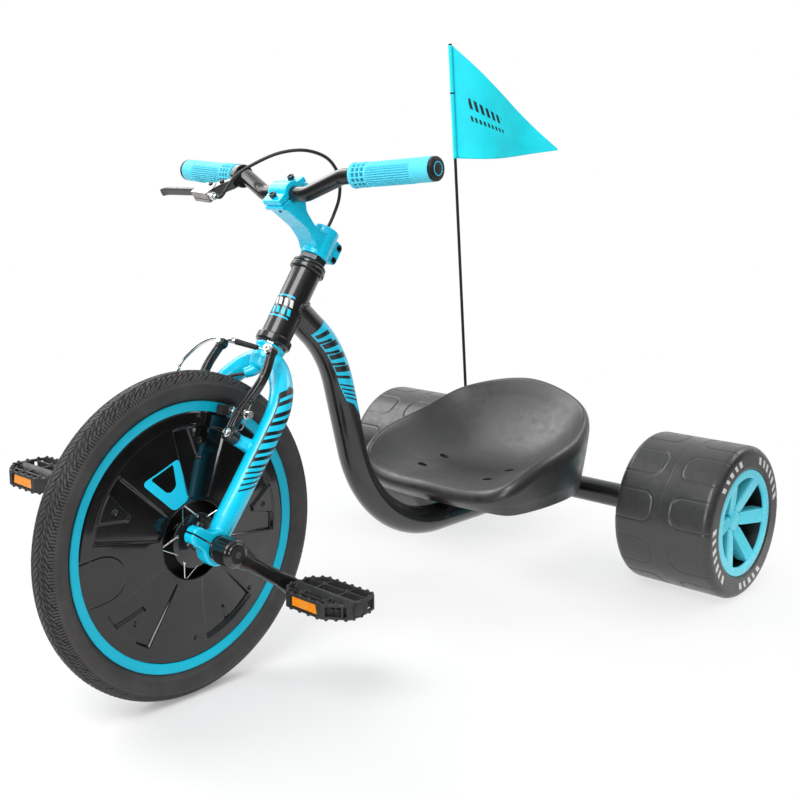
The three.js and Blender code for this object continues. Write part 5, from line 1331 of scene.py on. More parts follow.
def stem():
    top = STEM_BOTTOM + 46.5
    half = 42 / 2 + 9
    outline = [(0, STEM_BOTTOM + 1), (-14, STEM_BOTTOM + 5), (-27, STEM_BOTTOM + 14.5),
               (-50, STEM_BOTTOM + 20.5), clamp_point(7 - half, -12), clamp_point(-half, -6),
               clamp_point(-half, -0.8), clamp_point(half, -0.8), clamp_point(half, -7),
               clamp_point(13, -20), (-62, top - 7), (-36, top - 15), (-22, top - 14), (0, top - 5)]
    outline = rounded(outline, [0, 12, 12, 20, 8, 3, 1, 1, 3, 12, 12, 12, 8, 0], 5, closed=True)
    arm = side_slab(outline, STEM_WIDE)
    clamp = lathe_z(rounded(rod(STEM_BOTTOM, top, 20.6), 1.4, 4), 72)
    ears = side_slab(rounded(rect(0, 33.5, STEM_BOTTOM + 6, STEM_BOTTOM + 40),
                             [0, 7, 7, 0], 6, closed=True), 24)
    bar_bore = lathe(rod(-40, 40, 11.4), 64).at(shift(0, BAR_IN_STEER.y, BAR_IN_STEER.z))
    cuts = [block(-1, 1, 5, 60, STEM_BOTTOM - 5, top + 5), lathe_z(rod(STEM_BOTTOM - 9, top + 9, 14.6), 64),
            bar_bore]
    for where in PINCH_BOLTS:
        cuts.append(lathe(rod(8.4, 30, 5.3), 36).at(where))
        cuts.append(lathe(rod(-30, -8.4, 5.3), 36).at(where))
    fused("stem_forged", arm + clamp + ears, STEER, cyan_paint, "steering", 0.8, 8, cuts=cuts,
          replaces="stem")
    for where, name in zip(PINCH_BOLTS, ("lower", "upper")):
        bolt = socket_bolt(5, 4, 3, 19, 2.5).at(shift(8.5, 0, 0))
        build("pinch_screw_" + name, bolt, STEER @ where, dark_steel, "steering",
              replaces="stem_pinch_bolt_" + name)
    reach = 42 / 2 + 8
    arc = [clamp_point(18.4 * math.cos(a), 18.4 * math.sin(a)) for a in np.radians(np.linspace(36, 144, 15))]
    outline = [clamp_point(reach, 0.8), clamp_point(reach, 9), *arc, clamp_point(-reach, 9),
               clamp_point(-reach, 0.8)]
    cap = side_slab(outline, STEM_WIDE)
    fused("stem_cap_forged", cap, STEER, cyan_paint, "steering", 0.6, 8, cuts=[bar_bore], replaces="stem_cap")
    for name, along in (("front", -21), ("rear", 21)):
        bolt = socket_bolt(5, 5, 3, 26, 2.6).at(turn("Y", -90)).at(shift(0, 0, 11.2))
        build("cap_screw_" + name, bolt, cap_frame(along), dark_steel, "steering",
              replaces="stem_cap_bolt_" + name)


def handlebar():
    side = lambda s: [(s * BAR_HALF, BAR_TOP[0] + BAR_SWEEP[0], BAR_TOP[1] + BAR_SWEEP[1]),
                      (s * BAR_RISE_END, *BAR_TOP), (s * BAR_RISE_START, *BAR_CENTRE)]
    points = side(-1) + side(1)[::-1]
    path = rounded(points, 34, 14)
    build("bar_bent", sweep(path, BAR_R, 48), TRIKE, black_paint, "steering", replaces="handlebar")
    for name, s in SIDES:
        where = bar_end(s)
        end = -5.5
        form, painted_shade_depth = grip_form(end, 85 if s > 0 else 95)
        obj = build("grip_moulded_" + name, form, where, cyan_rubber, "steering", sharp=0,
                    replaces="grip_" + name, clean=False)
        store_painted_shade(obj, painted_shade_depth)
        cap = rounded([(end - 2, 11.4), (end - 2, 15.2), (end, 15.2), (end + 0.2, 16.1), (-1.4, 16.0),
                       (0.6, 14.6), (0.2, 13.2), (0.8, 12.6), (0.8, 0)],
                      [0, 0, 0.4, 0.6, 0.9, 0.6, 0.3, 0.3, 0], 3)
        build("grip_plug_" + name, lathe(cap, 64), where, black_plastic, "steering",
              replaces="grip_cap_" + name)
        ring = lathe(rounded([(0.4, 7.9), (1.1, 8.1), (1.1, 9.3), (0.4, 9.5)], 0.15, 2), 64)
        build("grip_plug_ring_" + name, ring, where, cyan_print, "steering")


GRIP_R, GRIP_LENGTH = 16.1, 133.5


def grip_form(end, up_at):
    """A flange, three rows of square windows, lengthwise ribs with a finer panel on top, and a plain collar.

    The second value is how deep each vertex lies in a window or between ribs, from 0 to 1, for painted shade.
    """
    x = np.linspace(-GRIP_LENGTH, end, 200)[:, None]
    n = 320
    ang = circle(n)[None]
    s = x + GRIP_LENGTH
    r = np.full(np.broadcast(x, ang).shape, GRIP_R)
    r = r + 1.4 * (1 - smoothstep(2.4, 4.2, s)) - 0.9 * (1 - smoothstep(0, 1.2, s))
    row = wrapped((s - 4.5) / 7.4 - 0.5)
    col = wrapped(ang / TAU * 14)
    window = line_mask(row * 7.4, 4.7, 1.2) * line_mask(col * 7.3, 4.9, 1.2)
    row_zone = smoothstep(4, 5, s) * (1 - smoothstep(26, 27, s))
    r = r + row_zone * (0.8 - 3.2 * window)
    up = np.cos(ang - math.radians(up_at))
    ribs = 0.5 + 0.5 * np.cos(ang * 32)
    dots = 0.5 + 0.5 * np.cos(s * TAU / 3.4)
    zone = smoothstep(28, 30, s) * (1 - smoothstep(98, 100, s))
    fine = 0.5 + 0.5 * np.cos(ang * 64)
    top = smoothstep(0.45, 0.55, up)
    ribbed = 1.6 * ribs ** 1.6 * (0.5 + 0.5 * dots)
    r = r + zone * ((ribbed - 0.5) * (1 - top) + (0.3 * fine - 0.1) * top)
    r = r - zone * 0.5 * line_mask(up - 0.5, 0.05, 0.04)
    r = r + 0.25 * smoothstep(100, 102, s) - 0.8 * smoothstep(GRIP_LENGTH + end - 1.2, GRIP_LENGTH + end, s)
    r = r - 0.5 * line_mask(s - 100.4, 1.4, 0.9)
    rim = [polar(at, w, ang) for at, w in ((-GRIP_LENGTH, 11.3), (end, 12.5))]
    # Painted shade between the ribs and inside the windows, stored for the rubber's colour.
    between = 0.6 * zone * (1 - ribs) * (1 - top) + 0.25 * zone * (1 - fine) * top
    painted_shade_depth = np.clip(0.95 * row_zone * window + between, 0, 1)
    bare = np.zeros((1, n))
    points = np.concatenate([rim[0], polar(x, r, ang), rim[1]])
    return grid(points, wrap_cols=True), np.concatenate([bare, painted_shade_depth, bare])


def brake_lever():
    px, pr, lug = 142, 46, 120
    x0 = -109.5 - 6
    x1 = x0 + 12
    ring = lathe(rounded(band(x0, x1, 11.4, 17.2), 1.4, 4, closed=True), 64, closed=True)
    neck = slab(rounded([(x1, -8), (x0, -8), (x0, -21), (-lug, -24), (-131, -31), (-128, -52), (-lug, -57),
                         (-lug, -48), (x0 + 2, -34), (x1, -22)], [0, 0, 4, 6, 3, 3, 2, 3, 8, 4], 4,
                        closed=True), -7.4, 7.4)
    bore = lathe(rod(x0 - 5, x1 + 5, 11.3), 64)
    fused("lever_body", ring + neck, LEVER, black_paint, "steering", 0.6, 5, cuts=[bore],
          replaces="lever_bracket")
    box = slab(rounded([(-159, -62), (-119, -62), (-119, -48), (-127, -33), (-148, -35), (-159, -44)],
                       [2, 2, 3, 4, 6, 4], 4, closed=True), -8.2, 8.2)
    blade_way = block(-170, -131, -57.5, -20, -4.7, 4.7)
    seam = block(-162, -121, -64, -61, -3.0, -1.4)
    fused("lever_housing", box, LEVER, lever_alloy, "steering", 0.5, 3, cuts=[blade_way, seam])
    pin = lathe_z(rounded(rod(-8.9, 8.9, 3.4), 0.5, 2), 28).at(shift(-px, -pr, 0))
    build("lever_pin", pin, LEVER, steel, "steering")
    screw = lathe_z(rounded([(6, 0), (6, 3.5), (9.6, 3.5), (10.4, 2.8), (10.4, 1.6), (8.8, 1.5), (8.8, 0)],
                            0.3, 2), 28)
    screws = [screw.at(shift(x, y, 0)) for x, y in ((-136, -38), (-119, -29))]
    build("lever_screws", total(screws), LEVER, dark_steel, "steering")
    start = 0.3 - lug
    barrel = [(start, 0), (start, 4.6)]
    for k in range(5):
        barrel += [(start + 4.4 + k * 1.1, 6.0), (start + 4.9 + k * 1.1, 5.6)]
    barrel += [(start + 10.2, 5.2), (start + 10.4, 4.0), (start + 14.6, 4.0), (start + 15, 3.6),
               (start + 15, 0)]
    build("barrel_knurled", lathe(barrel, 40).at(shift(0, -55, 0)), LEVER, steel, "steering",
          replaces="barrel_adjuster")
    middle = [(-px + 6, -pr + 1), (-px - 14, -pr - 3), (-px - 40, -pr - 6), (-px - 66, -pr - 9),
              (-px - 88, -pr - 11.5), (-237, -pr - 13.5), (-242.5, -pr - 17.5)]
    path = even(spline([(x, y, 0) for x, y in middle], 10), 70)
    t = np.linspace(0, 1, len(path))
    thick = np.interp(t, [0, 0.12, 0.3, 0.9, 1], [4.4, 4.0, 2.8, 2.8, 2.8])
    wide = np.interp(t, [0, 0.16, 0.3, 0.9, 0.98, 1], [3.9, 3.9, 6.2, 6.4, 6.2, 5.6])
    ang = np.linspace(0, TAU, 28, endpoint=False)
    k = squarish(np.cos(ang), np.sin(ang), 4.5)
    section = np.stack([thick[:, None] * k * np.cos(ang), wide[:, None] * k * np.sin(ang)], -1)
    build("lever_blade", sweep(path, 1, section=section, first=(0, 1, 0)), LEVER, lever_plastic,
          "brake_lever", replaces="brake_lever")
    eye = lathe_z(rounded(rod(-4, 4, 6.4), 0.6, 2), 36).at(shift(-px, -pr, 0))
    build("lever_eye", eye, LEVER, lever_alloy, "brake_lever")


headset()
stem()
handlebar()
brake_lever()


# ---------------------------------------------------------------- frame and seat
MAIN_TUBE = [(0, 208, 508), (0, 287, 437), (0, 369, 129), (0, 847, 125.5)]
MAIN_R = 22.5


def main_path():
    return rounded(MAIN_TUBE, [0, 240, 225, 0], 40)


def weld_bead(name, centre, direction, radius, axis_point, axis, axis_radius, body):
    """The rippled bead where a tube meets the side of another."""
    d, a = unit(direction), unit(axis)
    u = unit(np.cross(d, a))
    v = np.cross(d, u)
    pts = []
    for phi in np.linspace(0, TAU, 180, endpoint=False):
        p = np.asarray(centre, float) + radius * (math.cos(phi) * u + math.sin(phi) * v) - d * 60
        w = p - axis_point
        dp, wp = d - (d @ a) * a, w - (w @ a) * a
        qa, qb, qc = dp @ dp, 2 * dp @ wp, wp @ wp - axis_radius ** 2
        disc = qb * qb - 4 * qa * qc
        t = (-qb - math.sqrt(max(disc, 0))) / (2 * qa)
        pts.append(p + t * d)
    r = 2.5 + 0.35 * np.sin(np.arange(180) * TAU / 5)
    build(name, sweep(np.array(pts), r, 12, closed=True), STILL, black_paint, body)


def frame_tubes():
    tube = sweep(main_path(), MAIN_R, 64, first=(1, 0, 0))
    build("main_tube", tube, TRIKE, black_paint, "frame", replaces="frame")
    head = rounded([(303.6, 17.4), (303.6, 22.6), (309, 22.6), (310.5, 22), (402.3, 22), (403.8, 22.6),
                    (409.2, 22.6), (409.2, 17.4)], [0, 0.6, 0.4, 1, 1, 0.4, 0.6, 0], 3, closed=True)
    head = [(z, min(r, HEAD_R)) for z, r in head]
    build("head_tube", lathe_z(head, 96, closed=True), STEER, black_paint, "frame")
    axis = np.array(STEER.to_3x3() @ Vector((0, 0, 1)))
    centre = np.array(TRIKE @ Vector(MAIN_TUBE[0]))
    way = np.array(MAIN_TUBE[0], float) - np.array(MAIN_TUBE[1], float)
    weld_bead("head_weld", centre, way, MAIN_R, np.array(STEER.translation), axis, HEAD_R, "frame")
    half = HALF_TRACK - SLEEVE_HALF - 3
    outline = rounded(band(-half, half, 7.9, AXLE_TUBE_R), [0, 1.2, 1.2, 0], 3)
    build("axle_tube", lathe(np.vstack([outline, [(-half, 7.9)]]), 72), AXLE, black_paint, "frame")
    for name, s in SIDES[::-1]:
        loop = [(s * 23.5 + 0.8 * math.sin(a * 2) * s, 21.6 * math.cos(a), 21.6 * math.sin(a))
                for a in np.linspace(0, TAU, 120, endpoint=False)]
        ring = sweep(loop, 2.2 + 0.3 * np.sin(np.arange(120) * TAU / 5), 10, closed=True)
        build("axle_weld_" + name, ring, AXLE, black_paint, "frame")
    arm = 13
    outline = [(-86, 556), (86, 556), (86, 655), (112 + arm, 722 - arm), (112 + arm, 722 + arm),
               (112 - arm, 722 + arm), (86 - 2 * arm, 655 + arm), (2 * arm - 86, 655 + arm),
               (arm - 112, 722 + arm), (-112 - arm, 722 + arm), (-112 - arm, 722 - arm), (-86, 655)]
    plate = slab(rounded(outline, 8, 4, closed=True), 155.7, 159.7)
    bevelled(build("seat_plate", plate, TRIKE, black_paint, "frame"), 0.8, 2)
    saddles = [slab(rounded(rect(-16, 16, y, y + 26), 3, 3, closed=True), 128, 157) for y in (556, 629)]
    bevelled(build("seat_saddles", total(saddles), TRIKE, black_paint, "frame"), 0.8, 2)
    nut = [(149, 4.2), (149, 6.6), (149.6, 7.3), (155.4, 7.3), (155.9, 6.6), (155.9, 4.2)]
    nuts = [lathe_z(nut, 36, flats=(1, 4, 6)).at(shift(x, y, 0)) for x, y in SEAT_BOLTS]
    build("seat_nuts", total(nuts), TRIKE, dark_steel, "frame")


SEAT_BOLTS = [(70, 576), (-70, 576), (70, 635), (-70, 635)]
SEAT_POSTS = [(112, 722), (-112, 722)]
PAN_Y, PAN_Z = 610.0, 192.0
SEAT_RIM = [(0, 501, 193), (103, 507, 195), (152, 520, 213), (170, 571, 238), (167, 693, 265),
            (128, 764, 298), (0, 796, 324)]


def seat():
    """The bucket: a dished pan inside a rolled rim, over a tapering skirt that is open underneath."""
    right = SEAT_RIM[1:-1]
    ring = [SEAT_RIM[0], *right, SEAT_RIM[-1], *[(-x, y, z) for x, y, z in right[::-1]]]
    count = 256
    curve = spline(ring, 24, closed=True)
    rim = even(np.vstack([curve, curve[:1]]), count + 1)[:-1]
    along = np.roll(rim, -1, 0) - np.roll(rim, 1, 0)
    out = np.stack([along[:, 1], -along[:, 0], np.zeros(count)], -1)
    out /= np.linalg.norm(out, axis=1)[:, None]
    edge = rim - 6 * out

    def bowl(share, drop=0.0):
        p = np.empty_like(edge)
        p[:, 0] = edge[:, 0] * share
        p[:, 1] = PAN_Y + (edge[:, 1] - PAN_Y) * share
        p[:, 2] = PAN_Z + (edge[:, 2] - 2 - PAN_Z) * share ** 2.7 - drop
        return p

    def shifted(d, z):
        p = rim + out * d
        p[:, 2] = z
        return p

    rows = [bowl(s) for s in np.linspace(0.02, 0.93, 46)]
    tops = rim[:, 2]
    for d, dz in ((-8.5, -4.4), (-7.2, -2.6), (-6.0, -1.1), (-5.2, -0.35), (-4.4, 0.0), (-3.4, -0.1),
                  (-2.2, -0.7), (-0.4, -2.1), (1.4, -4.1), (3.2, -6.9), (4.6, -10.2), (5.6, -14.0),
                  (6.0, -18.0)):
        rows.append(shifted(d, tops + dz))
    for t in np.linspace(0.06, 1, 18):
        d = 6.0 - 15.0 * t ** 1.25
        z = (tops - 18.0) * (1 - t) + 160.0 * t
        rows.append(shifted(d, z) + out * (0.55 * smoothstep(176, 178.5, z))[:, None])
    rows.append(shifted(-10.5, np.full(count, 160.2)))
    rows.append(shifted(-13.5, np.full(count, 161.5)))
    for t in np.linspace(0.15, 1, 8):
        rows.append(shifted(-13.5 + 14.5 * t * 0.85, 161.5 * (1 - t) + (tops - 15) * t))
    for s in np.linspace(0.9, 0.02, 16):
        rows.append(bowl(s, 5.0))
    form = grid(np.array(rows), wrap_cols=True, caps=True)
    obj = build("seat_shell", form, TRIKE, seat_plastic, "frame", sharp=0, replaces="seat", clean=False)
    cuts = []
    for x, y in SEAT_BOLTS:
        slot = rounded(rect(x - 8.5, x + 8.5, y - 5.5, y + 5.5), 5.2, 6, closed=True)
        cuts.append(slab(slot, 184, 300))
    cut_out(obj, build("seat_slots", total(cuts), TRIKE, seat_plastic, "frame", sharp=0), "EXACT", 50)
    floor = 186.3
    tip = 146.7
    wells = []
    for k, (x, y) in enumerate(SEAT_BOLTS):
        prof = [(tip, 0), (tip, 3.9), (floor, 3.9), (floor, 6.5), (floor + 3.6, 6.5), (floor + 4.4, 5.8),
                (floor + 4.4, 3.4), (floor + 2, 3.2), (floor + 2, 0)]
        build(f"seat_screw_{k + 1}", lathe_z(prof, 36, flats=(6, 7, 6)).at(shift(x, y, 0)), TRIKE,
              dark_steel, "frame", replaces=f"seat_bolt_{k + 1}")
        wells.append(slab(rounded(rect(x - 11, x + 11, y - 8, y + 8), 7, 5, closed=True), 161, 185.6))
    build("seat_wells", total(wells), TRIKE, seat_plastic, "frame")
    posts = [lathe_z(rod(160.2, 200, 11), 32).at(shift(x, y, 0)) for x, y in SEAT_POSTS]
    build("seat_posts", total(posts), TRIKE, seat_plastic, "frame")


frame_tubes()
seat()


# ---------------------------------------------------------------- rear wheels
def sleeve_groove(theta, x):
    """The moulded outlines: ten U-shaped channels each side, open at the shoulder."""
    ax = np.abs(x)
    pitch = TAU / 10
    off = wrapped((theta - math.radians(129)) / pitch) * pitch * REAR_R
    half = math.radians(11.25) * REAR_R
    start = corner = 17.0
    dx = np.clip(start + corner - ax, 0, None)
    dy = np.clip(np.abs(off) - (half - corner), 0, None)
    dist = np.where(ax < start + corner, np.hypot(dx, dy) - corner, np.abs(off) - half)
    dist = np.where((ax < start + corner) & (np.abs(off) < half - corner), start - ax, dist)
    return line_mask(dist, 2.1, 1.3)


def rear_wheels():
    for name, side in SIDES:
        where = REAR[side]
        body = "rear_wheel_" + name
        half = SLEEVE_HALF
        xs = np.linspace(-half + 14, half - 14, 110)
        corner = [(half - 13 + 13 * math.sin(a), REAR_R - 13 + 13 * math.cos(a))
                  for a in np.linspace(0.04, math.pi / 2, 16)]
        face = [(half, r) for r in np.linspace(111, 90.5, 8)]
        face += [(half - 0.8, 89.2), (half - 2.4, 88.5), (half - 40, 88.5)]
        out = [(x, REAR_R) for x in xs] + corner + face
        prof = np.array([(-x, r) for x, r in (corner + face)[::-1]] + out)
        n = 480
        ang = circle(n)
        x, r = prof[:, :1], np.repeat(prof[:, 1:], n, 1)
        groove = sleeve_groove(ang[None], x) * smoothstep(100, 121, r) * 1.1
        seam = 0.35 * line_mask(x + 0.8 * np.sin(ang * 3)[None], 1.4, 1.2) * smoothstep(120, 125, r)
        r = r - groove - seam
        ring = 0.3 * line_mask(r - 94.5, 1.2, 1.0) + 0.3 * line_mask(r - 113.5, 1.2, 1.0)
        xx = np.broadcast_to(x, r.shape) - np.sign(x) * ring * (np.abs(x) > half - 1)
        build("sleeve_" + name, grid(polar(xx, r, ang), wrap_cols=True), where, sleeve_plastic, body, sharp=0,
              replaces="rear_tyre_" + name, clean=False)
        build("sleeve_marks_" + name, sleeve_marks(), where, white_print, body)
        rear_hub(name, where, body)


def sleeve_marks():
    """Plain white bars in groups round each side of the sleeve, where the real one is lettered."""
    marks = []
    for side in (1, -1):
        x = side * (SLEEVE_HALF + 0.12)
        for group, count in ((10, 7), (100, 5), (172, 7), (262, 5)):
            for k in range(count):
                a = math.radians(group + k * 8.6)
                w, lean = math.radians(3.6 if k % 2 else 4.6), math.radians(2.4)
                inner, outer = 99, 110.5
                corners = [(inner, a), (inner, a + w), (outer, a + w + lean), (outer, a + lean)]
                u, v = np.meshgrid(np.linspace(0, 1, 5), np.linspace(0, 1, 5), indexing="ij")
                w4 = [(1 - u) * (1 - v), u * (1 - v), u * v, (1 - u) * v]
                r = sum(q * c[0] for q, c in zip(w4, corners))
                t = sum(q * c[1] for q, c in zip(w4, corners))
                marks.append(grid(polar(x, r, t)))
    return total(marks)


def rear_hub(name, where, body):
    """Two cyan face rings, six dished spokes a side on a round boss, and a dark drum and disc between."""
    parts = []
    for s in (1, -1):
        flip = STILL if s > 0 else MIRROR_X
        ring = lathe(rounded([(77.5, 73.5), (77.5, 88), (82.2, 88), (82.8, 87.2), (82.8, 74.5), (81.4, 73.5)],
                             [0.5, 0.5, 0.8, 0.4, 0.8, 0.6], 3, closed=True), 128, closed=True)
        build(f"hub_ring_{name}_{'out' if s > 0 else 'in'}", ring.at(flip), where, cyan_plastic, body)
        spokes = []
        for k in range(6):
            rows = []
            for rr in np.linspace(15, 75.5, 22):
                t = (rr - 15) / 60.5
                w = 10.6 + 1.4 * t
                if rr < 25:
                    w *= math.sqrt(max(1 - ((25 - rr) / 12.5) ** 2, 0.05))
                top = 64.8 + 16.9 * t ** 0.92
                low = top - (30 - 8 * t)
                sec = rounded([(low, -w - 0.8), (top, -w), (top, w), (low, w + 0.8)], [0.5, 2.4, 2.4, 0.5], 4,
                              closed=True)
                rows.append(np.stack([sec[:, 0], np.full(len(sec), rr), sec[:, 1]], -1))
            spoke = grid(np.array(rows), wrap_cols=True, caps=True)
            spokes.append(spoke.at(turn("X", -3 + 60 * k)))
        parts.append(total(spokes).at(flip))
    boss = lathe(rounded(rod(-62.3, 62.3, 17.4), 1.5, 3), 64)
    fused("hub_spokes_" + name, total([*parts, boss]), where, cyan_plastic, body, 0.9, 4,
          replaces="rear_hub_" + name)
    drum = lathe(rounded([(-79, 88.3), (-79, 84), (-20, 82), (20, 82), (79, 84), (79, 88.3)], 1, 2), 96)
    disc = lathe(rounded(band(-1.5, 1.5, 17, 82.3), 0.5, 2, closed=True), 96, closed=True)
    build("hub_drum_" + name, drum + disc, where, black_plastic, body)
    cap = lathe(rounded([(53.6, 11), (53.6, 12.8), (62.7, 12.8), (62.7, 17.3), (65.6, 17.3), (67.6, 14.6),
                         (68.6, 8), (68.6, 0)], [0, 0, 0, 0.4, 1.4, 2.4, 3, 0], 4), 64)
    build("hub_dome_" + name, cap, where, cyan_plastic, body, replaces="rear_hub_cap_" + name)
    dressed("rear_bearings_" + name, steel)


def rear_axle():
    end = HALF_TRACK + SLEEVE_HALF - 22 - 9 - 0.5
    shaft = lathe(rounded([(-end, 0), (-end, 7.5), (end - 7.7, 7.5), (end - 7.7, 10.6), (end - 0.6, 10.6),
                           (end, 10), (end, 0)], [0, 0.8, 0, 0, 0, 0, 0], 3), 48)
    build("axle_rod", shaft, AXLE, steel, "frame", replaces=("rear_axle", "axle_nut"))


rear_wheels()
rear_axle()


# ---------------------------------------------------------------- flag
FLAG_HEIGHT, FLAG_LENGTH = 205, 198
FLAG_TURN = math.radians(-37)


def flag_point(u, v):
    """The pennant's middle surface: u from hoist to tip, v from the lower edge up, in a frame on the pole."""
    height = FLAG_HEIGHT * (1 - u)
    droop = 6 * np.sin(np.pi * u)
    wave = 20 * np.sin(TAU * u) * (1 - 0.35 * v)
    p = np.stack([wave, 3.1 + u * FLAG_LENGTH, v * height - droop * (1 - v)], -1)
    c, s = math.cos(FLAG_TURN), math.sin(FLAG_TURN)
    return p @ np.array([[c, -s, 0], [s, c, 0], [0, 0, 1]]).T


def flag():
    base = POLE_LENGTH - FLAG_HEIGHT - 3
    u = np.linspace(0, 0.985, 120)[:, None]
    v = np.linspace(0, 1, 60)[None]
    uu, vv = np.broadcast_arrays(u, v)
    cloth = flag_point(uu, vv)
    ripple = 1.2 * np.sin(uu * 23 + vv * 3.1) * uu * (1 - uu) + 0.8 * np.sin(vv * 17 + uu * 5) * uu * (1 - uu)
    cloth[..., 0] += ripple * math.cos(FLAG_TURN)
    cloth[..., 1] += ripple * math.sin(FLAG_TURN)
    cloth[..., 2] += base
    loop = []
    a0 = math.radians(90 - 37)
    for a in np.linspace(a0 + TAU * 0.93, a0 + 0.25, 24):
        x, y = 3.5 * math.cos(a), 3.5 * math.sin(a)
        loop.append(np.stack(np.broadcast_arrays(x, y, base + v[0] * FLAG_HEIGHT), -1))
    points = np.concatenate([np.array(loop), cloth[3:]])
    obj = build("pennant", grid(points), FLAG, flag_cloth, "frame", sharp=0, replaces="flag", clean=False)
    mod = obj.modifiers.new("cloth", "SOLIDIFY")
    mod.thickness = 0.5 * MM
    mod.offset = 0
    top = POLE_LENGTH
    pole = lathe_z(rounded([(4.3, 0), (4.3, POLE_R), (top - 4, POLE_R), (top - 4, 3.4), (top, 3.4),
                            (top, 0)], [0, 0.3, 0.2, 0.2, 1.2, 0], 3), 32)
    build("pole_rod", pole, FLAG, black_plastic, "frame", replaces="flag_pole")
    tie = lathe_z(rounded(band(0, 3, 3.6, 4.5), 0.4, 2, closed=True), 32, closed=True)
    build("flag_tie", tie.at(shift(0, 0, base + 118)), FLAG, black_plastic, "frame")
    clear = AXLE_TUBE_R + 0.4
    clamp = lathe(rounded(band(-9, 9, clear, clear + 3), 0.8, 3, closed=True), 72, closed=True)
    build("pole_band", clamp.at(shift(POLE_X, 0, 0)), AXLE, black_paint, "frame", replaces="flag_bracket")
    socket = lathe_z(rounded([(-1, 0), (-1, 7), (29, 7), (30, 6.2), (30, 3.3), (6, 3.3), (6, 0)],
                             [0, 0, 0.6, 0.4, 0.2, 0, 0], 3), 40)
    build("pole_socket", socket, FLAG, black_paint, "frame")


flag()


# ---------------------------------------------------------------- prints on the frame
def tube_surface(angle, along, lift):
    """The main tube's skin: angle from straight left, through up and forward."""
    path = main_path()
    s = np.concatenate([[0], np.cumsum(np.linalg.norm(np.diff(path, axis=0), axis=1))])
    at = lambda q: np.stack([np.interp(q, s, path[:, k]) for k in range(3)], -1)
    centre, ahead = at(along), at(along + 2)
    tangent = ahead - centre
    tangent /= np.linalg.norm(tangent, axis=-1)[..., None]
    left = np.array([1.0, 0, 0])
    outer = np.cross(left, tangent)
    r = MAIN_R + lift
    return centre + r * (np.cos(angle)[..., None] * left + np.sin(angle)[..., None] * outer)


# Each bar's place along the tube, its width, and its two ends in degrees round the tube.
TUBE_BARS = ((48, 8, -34, 22), (61, 5, -42, 8), (70, 10, -36, 26), (85, 5, -42, 12), (94, 9, -36, 30),
             (108, 5, -42, 14), (117, 10, -36, 32), (132, 5, -40, 18))


def main_tube_print():
    """A cyan panel tapering down the tube's side, cut by plain slanted bars, in place of lettering."""
    for name, mirror in SIDES:
        low = lambda angle, along: tube_surface(np.radians(angle), along, INK) * [mirror, 1, 1]
        high = lambda angle, along: tube_surface(np.radians(angle), along, INK_OVER) * [mirror, 1, 1]
        base = [quad_patch(low, [(-42, 42), (56, 50), (56, 186), (-38, 152)], 24, 60),
                quad_patch(low, [(-38, 152), (56, 186), (56, 204), (-24, 178)], 24, 12),
                quad_patch(low, [(4, 187.2), (56, 204), (52, 232), (38, 214)], 12, 12)]
        build("tube_panel_" + name, total(base), TRIKE, cyan_print, "frame")
        bars = []
        for s, wide, left, right in TUBE_BARS:
            bar = [(left, s), (right, s + 12), (right, s + 12 + wide), (left, s + wide)]
            bars.append(quad_patch(high, bar, 14, 6))
        for k in range(4):
            s, left = 148 + 7.4 * k, -36 + 4 * k
            bars.append(quad_patch(high, [(left, s), (50, s + 19), (50, s + 21.6), (left, s + 2.6)], 20, 3))
        build("tube_bars_" + name, total(bars), TRIKE, black_print, "frame")


def head_badge():
    """A plain badge of slanted bars round the head tube's front."""
    def surface(angle, along):
        a, r = np.radians(angle), HEAD_R + 0.25
        return np.stack([r * np.cos(a), -r * np.sin(a), along], -1)

    white, cyan = [], []
    for k in range(6):
        a = 30 + 22 * k
        white.append(quad_patch(surface, [(a, 346), (a + 13, 346), (a + 20, 357), (a + 7, 357)], 8, 4))
        cyan.append(quad_patch(surface, [(a - 4, 333), (a + 9, 333), (a + 15, 343), (a + 2, 343)], 8, 4))
    cyan.append(quad_patch(surface, [(34, 360), (146, 360), (150, 362.4), (38, 362.4)], 30, 3))
    cyan.append(quad_patch(surface, [(26, 327.6), (138, 327.6), (142, 330), (30, 330)], 30, 3))
    build("head_badge_white", total(white), STEER, white_print, "frame")
    build("head_badge_cyan", total(cyan), STEER, cyan_print, "frame")


head_badge()
main_tube_print()


# ---------------------------------------------------------------- floor and light
FLOOR_CENTRE = (-0.25, -0.1)


FLOOR_R = 1.25
# Each patch that keeps shadow: x, y, where it starts to fade, where it has faded, and how much it keeps.
SHADOW_PATCHES = ((0.12, -0.35, 0.05, 0.7, 0.8), (0.3, 0.5, 0.1, 0.4, 0.34), (-0.3, 0.5, 0.1, 0.4, 0.34))


def seen_directly(k):
    """1 for rays of the camera, of reflections and through glass, else 0."""
    path = k.node("LightPath").outputs
    direct = k.math("MAXIMUM", path["Is Camera Ray"], path["Is Glossy Ray"])
    return k.math("MAXIMUM", direct, path["Is Transmission Ray"])


